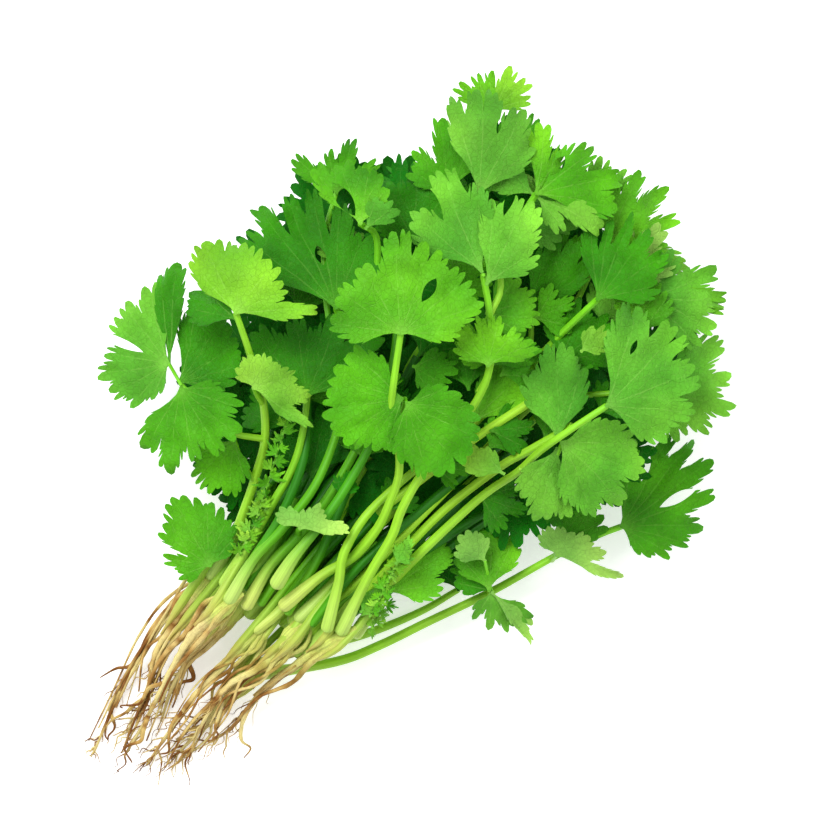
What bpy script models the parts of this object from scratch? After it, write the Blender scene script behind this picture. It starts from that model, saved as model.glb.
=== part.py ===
"""Coriander bunch: whole young plants, roots and all, lying side by side on a surface.

The roots are at -X, the head of leaves is at +X and +Z is up. Each plant is a tap root with
its side roots, leaf stalks that start just in front of the root's crown, and lobed leaf
blades at the ends of the stalks and of their forks. Every root, stalk and leaf blade is a
closed solid of its own, and a small gap is kept wherever one would touch the next.

Lengths are in millimetres up to the point where a mesh is made, and metres from there on.
Directions in the plan are in degrees, counted from +X towards +Y.
"""

import math
from collections import namedtuple

import bmesh
import bpy
from mathutils import Matrix, Vector

MM = 0.001

# Driving dimensions, in millimetres
TAP_ROOT_RADIUS = 2.6
ROOT_TIP_RADIUS = 0.55
ROOT_TAPER = 0.75           # power of the taper from crown to tip
CROWN_RADIUS = 3.3
CROWN_LENGTH = 9.0
SIDE_ROOT_RADIUS = 0.75
SIDE_ROOT_LENGTH = 15.0
SIDE_ROOT_TAPER = 0.4       # share of its radius that a side root loses
SIDE_ROOT_BEND = 1.5
SIDE_ROOT_FALL = 0.6        # height of a side root's tip, as a share of the height of its start
SIDE_ROOT_DROP = 0.5        # least fall of a side root
SIDE_ROOT_LOWEST = 1.0
STALK_BASE_RADIUS = 2.3
STALK_RADIUS = 1.6
STALK_END_RADIUS = 1.05
STALK_BASE_LENGTH = 16.0
FORK_RADIUS = 1.05
FORK_END_RADIUS = 0.8
BLADE_THICKNESS = 0.7
BLADE_RISE = 1.7            # from the end of a stalk to the blade that it carries
HUB_RADIUS = 2.4            # of the blade round the end of its stalk, between two lobes
BLADE_DROOP = 0.10          # fall of a lobe's tip, as a share of the lobe's length

# How the curves are divided
ROUTE_STEP = 8.0
SIDE_ROOT_STEP = 4.0
BEVEL_RESOLUTION = 2
BLADE_RINGS = (0.5, 1.0)
NOSE = ((0.75, 0.45), (0.5, 0.8))   # rounded start of a tube: distance back and radius, in radii
CLOSEST_RAYS = 4            # degrees
EMPTY_SECTOR = 12           # degrees; a wider gap between two rays gets at least one more ray
SMOOTH_ANGLE = 50           # degrees

# A lobe's outline: angle off its midrib, and radius as a share of the lobe's length
LOBE_PROFILE = ((0, 1.0), (15, 0.93), (26, 0.55), (36, 0.12))
WIDEST_EMPTY_SECTOR = 55    # degrees between two of a blade's rays

# The bunch is laid out round the middle of its head, and then moved to stand on its origin
ORIGIN_SHIFT = (21.0, 3.8, -0.78)

# A leaf's dip is (direction, degrees), and each of its lobes is (direction, length).
# Each of a root's side roots is (share of the route where it starts, direction).
Leaf = namedtuple("Leaf", "name dip lobes")
Fork = namedtuple("Fork", "route leaf")
Stalk = namedtuple("Stalk", "name route leaf forks")
Root = namedtuple("Root", "name route side_roots")

ROOTS = [
    Root("root_1", [(-81, 17, 20), (-92, 17, 16), (-106, 15, 11), (-118, 9, 7), (-130, 7, 3)],
         [(0.45, 205), (0.75, 165)]),
    Root("root_2", [(-79, 15, 7), (-90, 20, 8), (-104, 19, 7), (-119, 17, 4), (-141, 11, 1.5)],
         [(0.5, 160), (0.7, 205)]),
    Root("root_3", [(-83, 8, 28), (-94, 10, 21), (-108, 8, 15), (-122, 5, 9), (-136, 3, 4)],
         [(0.55, 160), (0.75, 200)]),
    Root("root_4", [(-81, 4, 14), (-90, 4, 11), (-100, 6, 8), (-110, 5, 5), (-121, 1, 2)],
         [(0.5, 200)]),
    Root("root_5", [(-85, -4, 18), (-97, -3, 13), (-108, -2, 11), (-122, -3, 6), (-134, -4, 2)],
         [(0.6, 190)]),
    Root("root_6", [(-75, -13, 23), (-88, -12, 18), (-99, -8, 15), (-112, -9, 9), (-124, -12, 4)],
         [(0.6, 205)]),
    Root("root_7", [(-69, -24, 27), (-81, -20, 18), (-94, -17, 11), (-107, -17, 6), (-116, -15, 2)],
         [(0.7, 215)]),
    Root("root_8", [(-95, -11, 6), (-105, -10, 5), (-114, -10, 3.5), (-127, -9, 1.5)],
         [(0.4, 165)]),
]

STALKS = [
    Stalk(
        "stalk_left",
        [(-76, 17, 22), (-66, 18, 24), (-56, 21, 26), (-45, 25, 29), (-34, 30, 35),
         (-25, 38, 43), (-17, 49, 52), (-10, 60, 58)],
        Leaf("leaf_yellow_umbrella", (70, 14), [(99, 16), (32, 23), (-46, 21)]),
        [Fork([(-34, 30, 35), (-39, 40, 39), (-38, 52, 41), (-37, 60, 41)],
              Leaf("leaf_left", (115, 20), [(114, 29), (9, 26), (-126, 25)])),
         Fork([(-26, 37, 42), (-25, 40, 47), (-24, 42, 53)],
              Leaf("leaf_small_umbrella", (-60, 18), [(75, 9), (0, 11), (-68, 18)])),
         Fork([(-46, 24, 29), (-44, 31, 31), (-40, 37, 33)],
              Leaf("leaf_grey_left", (180, 8), [(172, 18), (-152, 20)])),
         Fork([(-68, 18, 24), (-71, 20, 27), (-74, 19, 29)],
              Leaf("leaf_round_low", (80, 12), [(105, 17), (72, 24), (38, 23), (8, 16)]))]),
    Stalk(
        "stalk_middle_left",
        [(-75, 12, 26), (-61, 14, 30), (-48, 16, 33), (-36, 18, 37), (-26, 22, 40), (-16, 28, 43)],
        Leaf("leaf_dark_middle", (60, 8), [(77, 26), (34, 20), (-14, 22)]),
        []),
    Stalk(
        "stalk_dark_left",
        [(-78, 8, 30), (-64, 10, 33), (-50, 9, 36), (-33, 10, 38), (-14, 17, 38), (-2, 28, 38),
         (6, 33, 40), (10, 38, 46)],
        Leaf("leaf_dark_left", (60, 15), [(80, 36), (52, 40), (22, 24)]),
        [Fork([(-3, 27, 38), (10, 42, 37), (24, 54, 34), (37, 60, 31)],
              Leaf("leaf_edge_left", (60, 8), [(92, 16), (38, 18), (5, 17)]))]),
    Stalk(
        "stalk_bright_left",
        [(-76, 3, 26), (-62, 5, 29), (-48, 4, 31), (-30, 5, 34), (-10, 10, 36), (8, 24, 38),
         (24, 34, 43), (34, 42, 48), (34, 48, 55)],
        Leaf("leaf_bright_left", (60, 10), [(78, 21), (45, 19), (-5, 15)]),
        [Fork([(-50, 4, 31), (-49, 5, 36), (-48, 5, 44)],
              Leaf("leaf_small_pale", (-40, 10), [(84, 9), (-15, 11), (-56, 15)]))]),
    Stalk(
        "stalk_shaded_left",
        [(-65, 0, 35), (-56, 1, 38), (-45, 1, 39), (-30, 2, 40), (-10, 6, 41), (12, 17, 41),
         (28, 29, 38), (36, 34, 38)],
        Leaf("leaf_shaded_left", (50, 5), [(70, 19), (39, 27), (8, 16)]),
        []),
    Stalk(
        "stalk_centre_low",
        [(-66, -20, 32), (-53, -14, 36), (-46, -10, 38), (-33, -8, 38), (-17, -10, 38),
         (-4, -13, 39), (9, -15, 41)],
        Leaf("leaf_centre_low", (180, 3), [(18, 20), (-12, 26)]),
        []),
    Stalk(
        "stalk_upper_right",
        [(-80, -4, 20), (-69, -6, 21), (-50, -4, 23), (-20, 2, 26), (10, 10, 31), (40, 12, 40),
         (62, 12, 47), (74, 13, 51)],
        Leaf("leaf_upper_right", (-10, 15), [(95, 9), (24, 20), (-15, 21), (-48, 26), (-82, 18)]),
        []),
    Stalk(
        "stalk_right",
        [(-69, -12, 24), (-57, -13, 25), (-40, -13, 27), (-10, -14, 32), (20, -17, 34),
         (45, -19, 42), (61, -21, 50)],
        Leaf("leaf_right_dark", (0, 10), [(52, 22), (24, 26), (-6, 24)]),
        [Fork([(32, -18, 37), (41, -12, 38), (47, -7, 41)],
              Leaf("leaf_right_shaded", (30, 5), [(-18, 18), (14, 16)])),
         Fork([(45, -19, 42), (60, -16, 37), (76, -12, 40)],
              Leaf("leaf_right_edge", (-30, 10), [(6, 22), (-28, 22), (-62, 25)]))]),
    Stalk(
        "stalk_centre",
        [(-69, -6, 28), (-55, -9, 31), (-44, -13, 34), (-33, -13, 39), (-25, -11, 43),
         (-17, -8, 47), (-10, -2, 52), (-6, 4, 57), (1, 9, 62), (16, 18, 69)],
        Leaf("leaf_centre", (45, 4), [(112, 24), (57, 28), (30, 30), (-22, 27), (-58, 19)]),
        [Fork([(-12, -4, 50), (-5, 1, 52), (2, 5, 54)],
              Leaf("leaf_centre_pair", (-160, 8),
                   [(104, 20), (132, 23), (-118, 22), (-86, 24), (-50, 17)]))]),
    Stalk(
        "stalk_top",
        [(-64, -24, 30), (-46, -20, 37), (-33, -18, 40), (-24, -15, 43), (-11, -13, 45), (15, -12, 49),
         (28, -7, 53), (38, 2, 59), (45, 10, 63)],
        Leaf("leaf_top_pair", (50, 6), [(100, 25), (72, 29), (18, 24), (-12, 20)]),
        [Fork([(37, 1, 58), (46, 4, 57), (56, 16, 56), (63, 26, 55)],
              Leaf("leaf_top_fan", (40, 12), [(57, 32), (33, 32), (5, 28)])),
         Fork([(17, -11, 49), (22, -10, 48), (26, -8, 47)],
              Leaf("leaf_side_pair", (0, 5), [(72, 14), (42, 15), (-24, 18), (-58, 12)]))]),
    Stalk(
        "stalk_far_right",
        [(-62, -28, 24), (-50, -27, 27), (-38, -27, 30), (-8, -31, 37), (6, -35, 42),
         (14, -36, 47), (22, -38, 53), (38, -43, 57)],
        Leaf("leaf_long_right", (-20, 12), [(26, 29), (6, 35), (-16, 36), (-42, 28)]),
        [Fork([(7, -35, 43), (14, -41, 45), (21, -40, 47)],
              Leaf("leaf_right_pair", (-60, 10),
                   [(55, 22), (28, 28), (-68, 25), (-100, 27), (-150, 22)]))]),
    Stalk(
        "stalk_outer",
        [(-90, -14, 8), (-73, -29, 10), (-61, -36, 11), (-46, -43, 12), (-27, -52, 14),
         (-7, -60, 17), (6, -66, 19), (13, -70, 21)],
        Leaf("leaf_slotted", (-40, 8), [(22, 23), (-9, 31), (-35, 30), (-60, 25), (-91, 15)]),
        [Fork([(-8, -60, 17), (-7, -60, 21), (-6, -60, 25)],
              Leaf("leaf_pale_edge", (-60, 22), [(92, 8), (0, 11), (-66, 24)])),
         Fork([(-28, -52, 14), (-27, -52, 18), (-27, -52, 21)],
              Leaf("leaf_outer_small", (-110, 18), [(66, 13), (-140, 11), (-102, 19)]))]),
    Stalk(
        "stalk_outer_thin",
        [(-76, -19, 5), (-62, -30, 4), (-46, -39, 4), (-33, -44, 4)],
        Leaf("leaf_outer_low", (30, 5), [(100, 13), (62, 18), (12, 20)]),
        []),
    Stalk(
        "stalk_edge_right",
        [(-72, -14, 15), (-55, -17, 18), (-40, -20, 20), (0, -27, 27), (35, -30, 33), (58, -32, 38),
         (71, -33, 41)],
        Leaf("leaf_edge_right", (-30, 12), [(17, 17), (-14, 17), (-50, 20), (-80, 20)]),
        [Fork([(30, -29, 32), (42, -42, 35), (51, -52, 37)],
              Leaf("leaf_edge_low_right", (-50, 12), [(-22, 23), (-56, 24), (-88, 18)]))]),
    Stalk(
        "stalk_edge_top",
        [(-77, 11, 12), (-60, 11, 16), (-45, 10, 19), (0, 20, 24), (35, 30, 29), (60, 36, 32),
         (85, 39, 33)],
        Leaf("leaf_edge_top", (40, 5), [(73, 13), (18, 15), (-24, 12)]),
        [Fork([(35, 30, 29), (46, 31, 31), (54, 32, 34), (58, 33, 42)],
              Leaf("leaf_behind_top", (60, 5), [(112, 14), (84, 19), (52, 23)]))]),
    Stalk(
        "stalk_under_left",
        [(-74, 14, 6), (-58, 17, 5), (-38, 24, 4), (-19, 34, 4)],
        Leaf("leaf_under_left", (80, 3), [(150, 24), (80, 30), (25, 26)]),
        []),
    Stalk(
        "stalk_under_middle",
        [(-74, -3, 8), (-50, 0, 6), (-20, 4, 5), (11, 6, 4)],
        Leaf("leaf_under_middle", (0, 3), [(62, 22), (0, 20), (-62, 24)]),
        []),
    Stalk(
        "stalk_under_far",
        [(-75, 4, 14), (-50, 8, 12), (0, 14, 13), (24, 11, 11), (40, 8, 6), (54, 6, 4)],
        Leaf("leaf_under_far", (0, 3), [(70, 28), (5, 28), (-60, 28)]),
        []),
]

# Colours: base colour and roughness of each kind of piece
ROOT_LOOK = ((0.62, 0.45, 0.25), 0.8)
STALK_LOOK = ((0.42, 0.72, 0.16), 0.45)
LEAF_LOOK = ((0.13, 0.45, 0.05), 0.5)


def material(name, look):
    """A plain Principled material."""
    colour, roughness = look
    made = bpy.data.materials.new(name)
    made.use_nodes = True
    shader = made.node_tree.nodes["Principled BSDF"]
    shader.inputs["Base Color"].default_value = (*colour, 1.0)
    shader.inputs["Roughness"].default_value = roughness
    made.diffuse_color = (*colour, 1.0)
    return made


def add_object(name, data, look, parent):
    """Link a new object with its own material under the bunch's empty."""
    data.materials.clear()
    data.materials.append(material(name, look))
    made = bpy.data.objects.new(name, data)
    made.parent = parent
    bpy.context.scene.collection.objects.link(made)
    return made


def direction(degrees):
    """Unit vector in the plan."""
    return Vector((math.cos(math.radians(degrees)), math.sin(math.radians(degrees)), 0.0))


def smooth_route(points, step):
    """Points about step apart on the Catmull-Rom curve through the given points."""
    points = [Vector(p) for p in points]
    padded = [points[0] * 2 - points[1], *points, points[-1] * 2 - points[-2]]
    route = []
    for before, start, end, after in zip(padded, padded[1:], padded[2:], padded[3:]):
        pieces = max(1, round((end - start).length / step))
        for i in range(pieces):
            t = i / pieces
            route.append(0.5 * (2 * start + (end - before) * t
                                + (2 * before - 5 * start + 4 * end - after) * t ** 2
                                + (3 * start - before - 3 * end + after) * t ** 3))
    route.append(points[-1])
    return route


def distances(route):
    """Length along the route at each of its points."""
    lengths = [0.0]
    for a, b in zip(route, route[1:]):
        lengths.append(lengths[-1] + (b - a).length)
    return lengths


def blend(start, end, share):
    """From start to end, easing in and out, as share goes from 0 to 1."""
    share = min(max(share, 0.0), 1.0)
    share = share * share * (3 - 2 * share)
    return start + (end - start) * share


def tube_mesh(name, route, radii):
    """Mesh of a round tube with closed ends along the route."""
    curve = bpy.data.curves.new(name, "CURVE")
    curve.dimensions = "3D"
    curve.bevel_depth = MM
    curve.bevel_resolution = BEVEL_RESOLUTION
    curve.use_fill_caps = True
    spline = curve.splines.new("POLY")
    spline.points.add(len(route) - 1)
    for point, place, radius in zip(spline.points, route, radii):
        point.co = (*(place * MM), 1.0)
        point.radius = radius
    holder = bpy.data.objects.new(name, curve)
    bpy.context.scene.collection.objects.link(holder)
    mesh = bpy.data.meshes.new_from_object(holder.evaluated_get(bpy.context.evaluated_depsgraph_get()))
    bpy.data.objects.remove(holder)
    bpy.data.curves.remove(curve)
    mesh.name = name
    mesh.shade_smooth()
    return mesh


def join_branches(trunk, branches, parent):
    """Unite the branch meshes with the trunk object, so that all of it is one closed body."""
    for number, mesh in enumerate(branches, 1):
        cutter = bpy.data.objects.new(f"{trunk.name}_branch_{number}", mesh)
        cutter.parent = parent
        cutter.hide_render = True
        cutter.display_type = "WIRE"
        bpy.context.scene.collection.objects.link(cutter)
        union = trunk.modifiers.new(f"branch_{number}", "BOOLEAN")
        union.operation = "UNION"
        union.solver = "EXACT"
        union.object = cutter


def stalk_radii(route):
    """A swollen, rounded base that narrows to the stalk, and a slow taper to its end."""
    lengths = distances(route)
    radii = []
    for length in lengths:
        body = blend(STALK_BASE_RADIUS, STALK_RADIUS, length / STALK_BASE_LENGTH)
        radii.append(body + (STALK_END_RADIUS - STALK_RADIUS) * length / lengths[-1])
    return radii


def round_start(route, radii):
    """Close the start of a tube with a short rounded nose."""
    first, ahead = route[0], (route[1] - route[0]).normalized()
    radius = radii[0]
    nose = [first - ahead * radius * back for back, _ in NOSE]
    return nose + route, [radius * share for _, share in NOSE] + radii


def make_stalk(stalk, parent):
    """One leaf stalk with its forks."""
    route = smooth_route(stalk.route, ROUTE_STEP)
    route, radii = round_start(route, stalk_radii(route))
    trunk = add_object(stalk.name, tube_mesh(stalk.name, route, radii), STALK_LOOK, parent)
    forks = []
    for fork in stalk.forks:
        path = smooth_route(fork.route, ROUTE_STEP)
        last = len(path) - 1
        radii = [FORK_RADIUS + (FORK_END_RADIUS - FORK_RADIUS) * i / last for i in range(last + 1)]
        forks.append(tube_mesh(fork.leaf.name, path, radii))
    join_branches(trunk, forks, parent)


def make_root(root, parent):
    """One tap root with its crown and side roots."""
    route = smooth_route(root.route, ROUTE_STEP)
    lengths = distances(route)
    radii = []
    for length in lengths:
        share = length / lengths[-1]
        body = TAP_ROOT_RADIUS + (ROOT_TIP_RADIUS - TAP_ROOT_RADIUS) * share ** ROOT_TAPER
        crown = (CROWN_RADIUS - TAP_ROOT_RADIUS) * blend(1.0, 0.0, length / CROWN_LENGTH)
        radii.append(body + crown)
    nosed, nosed_radii = round_start(route, radii)
    trunk = add_object(root.name, tube_mesh(root.name, nosed, nosed_radii), ROOT_LOOK, parent)
    side_roots = []
    for share, heading in root.side_roots:
        start = route[round(share * (len(route) - 1))]
        out = direction(heading) * SIDE_ROOT_LENGTH
        low = min(start.z * SIDE_ROOT_FALL, start.z - SIDE_ROOT_DROP)
        end = Vector((start.x + out.x, start.y + out.y, max(low, SIDE_ROOT_LOWEST)))
        bend = start.lerp(end, 0.5) + direction(heading + 90) * SIDE_ROOT_BEND
        path = smooth_route([start, bend, end], SIDE_ROOT_STEP)
        last = len(path) - 1
        thin = [SIDE_ROOT_RADIUS * (1 - SIDE_ROOT_TAPER * i / last) for i in range(last + 1)]
        side_roots.append(tube_mesh(f"{root.name}_side", path, thin))
    join_branches(trunk, side_roots, parent)


def lobe_radius(off_midrib, length):
    """Radius of one lobe's outline at an angle off its midrib."""
    for (angle_a, share_a), (angle_b, share_b) in zip(LOBE_PROFILE, LOBE_PROFILE[1:]):
        if off_midrib <= angle_b:
            return length * (share_a + (share_b - share_a) * (off_midrib - angle_a) / (angle_b - angle_a))
    return 0.0


def turn_between(a, b):
    """Smallest angle between two directions."""
    return abs((a - b + 180) % 360 - 180)


def blade_outline(lobes):
    """The blade's outline round its hub, as (direction, radius) pairs in order of direction."""
    headings = set()
    for heading, _ in lobes:
        for off_midrib, _ in LOBE_PROFILE[:-1]:
            headings.update({(heading - off_midrib) % 360, (heading + off_midrib) % 360})
    headings = sorted(headings)
    rays = []
    for a, b in zip(headings, headings[1:] + [headings[0] + 360]):
        if b - a < CLOSEST_RAYS:
            continue
        rays.append(a)
        pieces = math.ceil((b - a) / WIDEST_EMPTY_SECTOR)
        if b - a > EMPTY_SECTOR:
            pieces = max(pieces, 2)
        rays.extend(a + (b - a) * i / pieces for i in range(1, pieces))
    outline = []
    for ray in rays:
        reach = max(lobe_radius(turn_between(ray, heading), length) for heading, length in lobes)
        outline.append((ray, max(reach, HUB_RADIUS)))
    return outline


def blade_mesh(leaf):
    """A thin closed plate with the leaf's outline, drooping from its hub."""
    outline = blade_outline(leaf.lobes)
    reach = max(length for _, length in leaf.lobes)
    mesh = bpy.data.meshes.new(leaf.name)
    bm = bmesh.new()
    faces = []
    for side in (0.5, -0.5):
        hub = bm.verts.new((0, 0, side * BLADE_THICKNESS * MM))
        rings = []
        for share in BLADE_RINGS:
            ring = []
            for ray, radius in outline:
                place = direction(ray) * radius * share
                place.z = side * BLADE_THICKNESS - BLADE_DROOP * (radius * share) ** 2 / reach
                ring.append(bm.verts.new(place * MM))
            rings.append(ring)
        faces.append((hub, rings))
    count = len(outline)
    for top, (hub, rings) in zip((True, False), faces):
        for i in range(count):
            j = (i + 1) % count
            quads = [(hub, rings[0][i], rings[0][j])]
            quads += [(a[i], b[i], b[j], a[j]) for a, b in zip(rings, rings[1:])]
            for quad in quads:
                bm.faces.new(quad if top else quad[::-1])
    upper, lower = faces[0][1][-1], faces[1][1][-1]
    for i in range(count):
        j = (i + 1) % count
        bm.faces.new((upper[j], upper[i], lower[i], lower[j]))
    bmesh.ops.triangulate(bm, faces=bm.faces)
    bm.to_mesh(mesh)
    bm.free()
    mesh.shade_smooth()
    mesh.set_sharp_from_angle(angle=math.radians(SMOOTH_ANGLE))
    return mesh


def make_leaf(leaf, stalk_end, parent):
    """One leaf blade, just above the end of its stalk and dipping as the leaf says."""
    blade = add_object(leaf.name, blade_mesh(leaf), LEAF_LOOK, parent)
    towards, angle = leaf.dip
    axis = direction(towards + 90)
    hub = Vector(stalk_end) + Vector((0, 0, BLADE_RISE))
    blade.matrix_local = Matrix.Translation(hub * MM) @ Matrix.Rotation(math.radians(angle), 4, axis)


def build():
    """Make the whole bunch."""
    for old in list(bpy.data.objects):
        bpy.data.objects.remove(old)
    bunch = bpy.data.objects.new("bunch", None)
    bunch.location = Vector(ORIGIN_SHIFT) * MM
    bpy.context.scene.collection.objects.link(bunch)
    for root in ROOTS:
        make_root(root, bunch)
    for stalk in STALKS:
        make_stalk(stalk, bunch)
        make_leaf(stalk.leaf, stalk.route[-1], bunch)
        for fork in stalk.forks:
            make_leaf(fork.leaf, fork.route[-1], bunch)


build()
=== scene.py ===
"""Looks of the coriander bunch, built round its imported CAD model.

Each CAD root, stalk and leaf is replaced by a finer piece in the same place: roots with strands
and rootlets, ridged stalks that meet their leaves, and lobed, toothed, veined blades. More leaves
and stalks fill the inside of the bunch. The routes of roots and stalks and the places of the
leaves are those of the CAD model.

Lengths are in millimetres up to the point where a mesh is made, and metres from there on.
Directions in the plan are in degrees, counted from +X towards +Y. Colours are screen colours up
to the point where a mesh is made, and linear from there on.
"""

import math
import random
from collections import namedtuple

import bpy
from mathutils import Matrix, Vector, geometry, noise


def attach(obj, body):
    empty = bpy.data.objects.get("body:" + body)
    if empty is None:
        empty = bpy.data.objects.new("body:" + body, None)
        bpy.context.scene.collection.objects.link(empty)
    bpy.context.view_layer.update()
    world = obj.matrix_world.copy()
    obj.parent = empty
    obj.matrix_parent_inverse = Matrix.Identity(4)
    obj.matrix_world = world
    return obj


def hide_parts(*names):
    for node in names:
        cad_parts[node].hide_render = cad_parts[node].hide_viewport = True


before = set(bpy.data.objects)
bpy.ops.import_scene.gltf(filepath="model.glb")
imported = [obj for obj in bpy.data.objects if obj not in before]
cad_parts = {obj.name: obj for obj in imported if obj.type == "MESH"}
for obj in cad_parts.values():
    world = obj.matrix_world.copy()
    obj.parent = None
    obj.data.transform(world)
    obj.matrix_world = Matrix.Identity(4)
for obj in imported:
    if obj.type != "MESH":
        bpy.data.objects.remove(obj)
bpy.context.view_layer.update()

# Without a seed, noise_vector starts from the clock and warps the blades differently in each run
noise.seed_set(1)

MM = 0.001
ORIGIN_SHIFT = Vector((21.0, 3.8, -0.78))   # from the layout's origin to the frame's
FLOOR_LEVEL = 0.78          # of the surface that the bunch lies on, in the layout

# Outline of a blade
TOOTH_STEPS = (0.0, 0.08, 0.26, 0.5, 0.74, 0.92)
TOOTH_WIDTH = 3.5
TOOTH_DEPTH = 1.3
TOOTH_SHIFT = 0.24          # how far the ends of a tooth wander, in teeth
UNEVEN = (0.65, 1.35)       # range of the notches' depths
SEGMENT_WIDTH = 9.5         # a lobe's edge is cut into segments, and a segment's edge into teeth
SEGMENT_NOTCH = 0.16        # depth of the notches between segments, as a share of the length
SEGMENT_BULGE = 1.1         # how far a segment's middle stands out
SEGMENT_WANDER = 0.5        # how far its teeth stand in or out besides
LOBE_CENTRE = 0.52          # of the oval that ends a lobe, as a share of the length
LOBE_BLUNT = 0.78           # power of the oval's two coordinates; 1 is an ellipse
OVAL_STEPS = 24
NOTCH_POWER = 4             # higher for narrower notches and rounder teeth
NOTCH_FOCUS = 0.25          # the point that notches run towards, as a share of the length
LOBE_WAIST = 1.25           # power of the growth in width from a lobe's base
LOOSE_WIDTH, LOOSE_WAIST = 1.1, 1.9     # the same on a side without a neighbour
LOBE_SIDES = (0.2, 0.45, 0.75)          # places of the points on a lobe's sides, up to its centre
LOBE_BASE = 0.4, 0.45       # how far a lobe's base reaches back and to each side
WEB_DIP = 0.96              # length of a web between two lobes at its middle, as a share of its sides
WEB_OVERLAP = 2.0           # degrees that a web reaches past the midribs beside it
CUT_STEPS = 8               # parts of each side of a cut, which is a slot inside a blade
CUT_BLUNT = 0.8
BLADE_GRID = 3.0            # between the points inside a blade
BITE_TRIES, BITE_LESS = 12, 0.85        # notches get shallower until none cross

# Veins of a blade, as shares of the lobe's length where they aren't widths
MIDRIB_PLACES = (0.02, 0.3, 0.6, 0.86)
MIDRIB_FADE = (0, 0.35, 0.7, 1)
MIDRIB_WIDTHS = 0.55, 0.22  # half widths at its ends
SIDE_VEIN = 0.22
SIDE_VEIN_PLACES = 0.1, 0.7             # first and last place where one leaves the midrib
SIDE_VEIN_SLANT = 1.9
SIDE_VEIN_BOW = 0.05

# Form of a blade
BLADE_RISE = 1.7            # from the end of a stalk to the blade that it carries
BLADE_THICKNESS = 0.3
BLADE_DROOP = 0.10          # fall of a lobe's tip, as a share of the lobe's length
SWELL, SWELL_SCALE = 5.0, 0.055         # wide waves
RUFFLE, RUFFLE_SCALE = 3.0, 0.15        # narrow ones
WARP, WARP_SCALE = 1.5, 0.085           # how far the outline wanders
FOLD = 0.05                 # rise towards the sides of a lobe
LEAF_CLEARANCE = 0.2
LONG_JOINT = 3              # a blade farther than this from its leaf's hub gets a stalk

# Stalks
STALK_BASE_RADIUS = 2.3
STALK_RADIUS = 1.6
STALK_END_RADIUS = 0.95
STALK_BASE_LENGTH = 16.0
STALK_SIDES, FORK_SIDES, PETIOLE_SIDES = 20, 14, 10
STALK_STEP = 2.5
RIDGES = 5
RIDGE_HEIGHT = 0.045        # share of the radius
FORK_RADIUS, FORK_END_RADIUS = 1.0, 0.7
THIN_STALK_RADIUS = 0.5
INNER_STALK_RADIUS = 1.35
LIT_STALK_RADIUS = 1.3
NOSE = [(0.98, 0.18), (0.9, 0.42), (0.7, 0.71), (0.4, 0.92)]    # round end: (back, width) in radii

# Roots
TAP_ROOT_RADIUS = 1.75
ROOT_TIP_RADIUS = 0.35
CROWN_RADIUS = 2.35
CROWN_LENGTH = 9.0
ROOT_STEP, STRAND_STEP, BRANCH_STEP = 1.6, 2.0, 0.6
ROOT_SIDES, STRAND_SIDES, BRANCH_SIDES = 18, 10, 8
ROOT_ROUGHNESS = 0.3
SIDE_ROOT_RADIUS = 0.84
SIDE_ROOT_LENGTH = 15.0
ROOTLETS = 20
ROOTLET_HEADING, ROOTLET_SPREAD = 182, 20
STRANDS = 6                 # thinner roots beside each tap root
STRAND_SHARES = (0.0, 0.22, 0.45, 0.7, 1.0)
STRAND_START = 0.4          # radius of a strand where it leaves the neck, as a share of its widest
NECK_STEPS = (10.0, 7.0, 4.0, 2.0)      # from a tap root's start back under the stalks
NECK_RADII = (0.35, 0.62, 0.85, 0.96)   # shares of the crown's radius there
NECK_FALL = 0.35
KINKS = (0.3, 0.6, 0.82)    # places of a thin root's bends
KINK_SIZE = 0.08
FLOOR_GAP = 1.3             # lowest end of a rootlet, in the layout
ROOT_CLEARANCE = 1.35       # least height of a root's middle over the surface, in its radii
ROOT_LIMIT_X = -143.0

# Leaves and stalks that the CAD model leaves out
LEAVES_TOGETHER = 4         # inner leaves in one piece
INNER_LOBES = 8
SPRIGS = 30                 # small leaves spread over the head, between the inner and the top ones
SPRIG_PIECES = 6
# Sprigs lie under the top leaves, so they get the darker tones, with painted shade
SPRIG_TONES = ("mid", "deep", "dark", "grey", "mid", "deep")
SPRIG_TOP, SPRIG_EDGE = 47.0, 32.0      # heights at the head's middle and rim
GOLDEN_ANGLE = math.radians(137.5)
HEAD_MIDDLE = (24, 2)
HEAD_REACH = (58, 52)
ROOT_SIDE_X = -60           # sprigs face away from here
FRINGE_SIZE = 3.2
FRINGE_TONES = ("bright", "yellow", "lime")
LOW_STALKS = 14             # thin stalks in the lower half, from one side to the other
LOW_STALK_FIRST, LOW_STALK_STEP = -24, 3.0
SHEATHS = 17                # short thick stalk bases over the crowns of the roots
SHEATH_SIDES = (-23, 19)
FEET = 3                    # stalks with brown feet among the strands of each root
FOOT_REACH = 50             # how far they run past the crown
FOOT_HEIGHT = 21            # least height of their ends

# Colours
# Leaf tones. Their spread is partly the leaves' own colour and partly painted light and shade: the light
# tones carry some painted light, deep and dark carry painted shade, and inner is painted deep shade
TONES = {
    "yellow": (0.45, 0.74, 0.14),
    "lime": (0.53, 0.80, 0.22),
    "bright": (0.385, 0.73, 0.09),
    "light": (0.38, 0.705, 0.17),
    "grey": (0.40, 0.70, 0.18),
    "pale": (0.56, 0.80, 0.32),
    "mid": (0.295, 0.65, 0.05),
    "deep": (0.21, 0.56, 0.015),
    "dark": (0.12, 0.485, 0.005),
    "inner": (0.055, 0.45, 0.003),
}
TONE_SWING = (1.5, 0.8, 1.2)    # how strongly red, green and blue follow the light and dark patches
PAINTED_EDGE_LIGHT, EDGE_START = 0.14, 0.6      # painted light: a blade gets lighter past this share of its reach, and darker with painted shade before it, towards its base
PATCH_LIGHT, PATCH_SCALE = 0.25, 0.06   # light and dark patches
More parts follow.
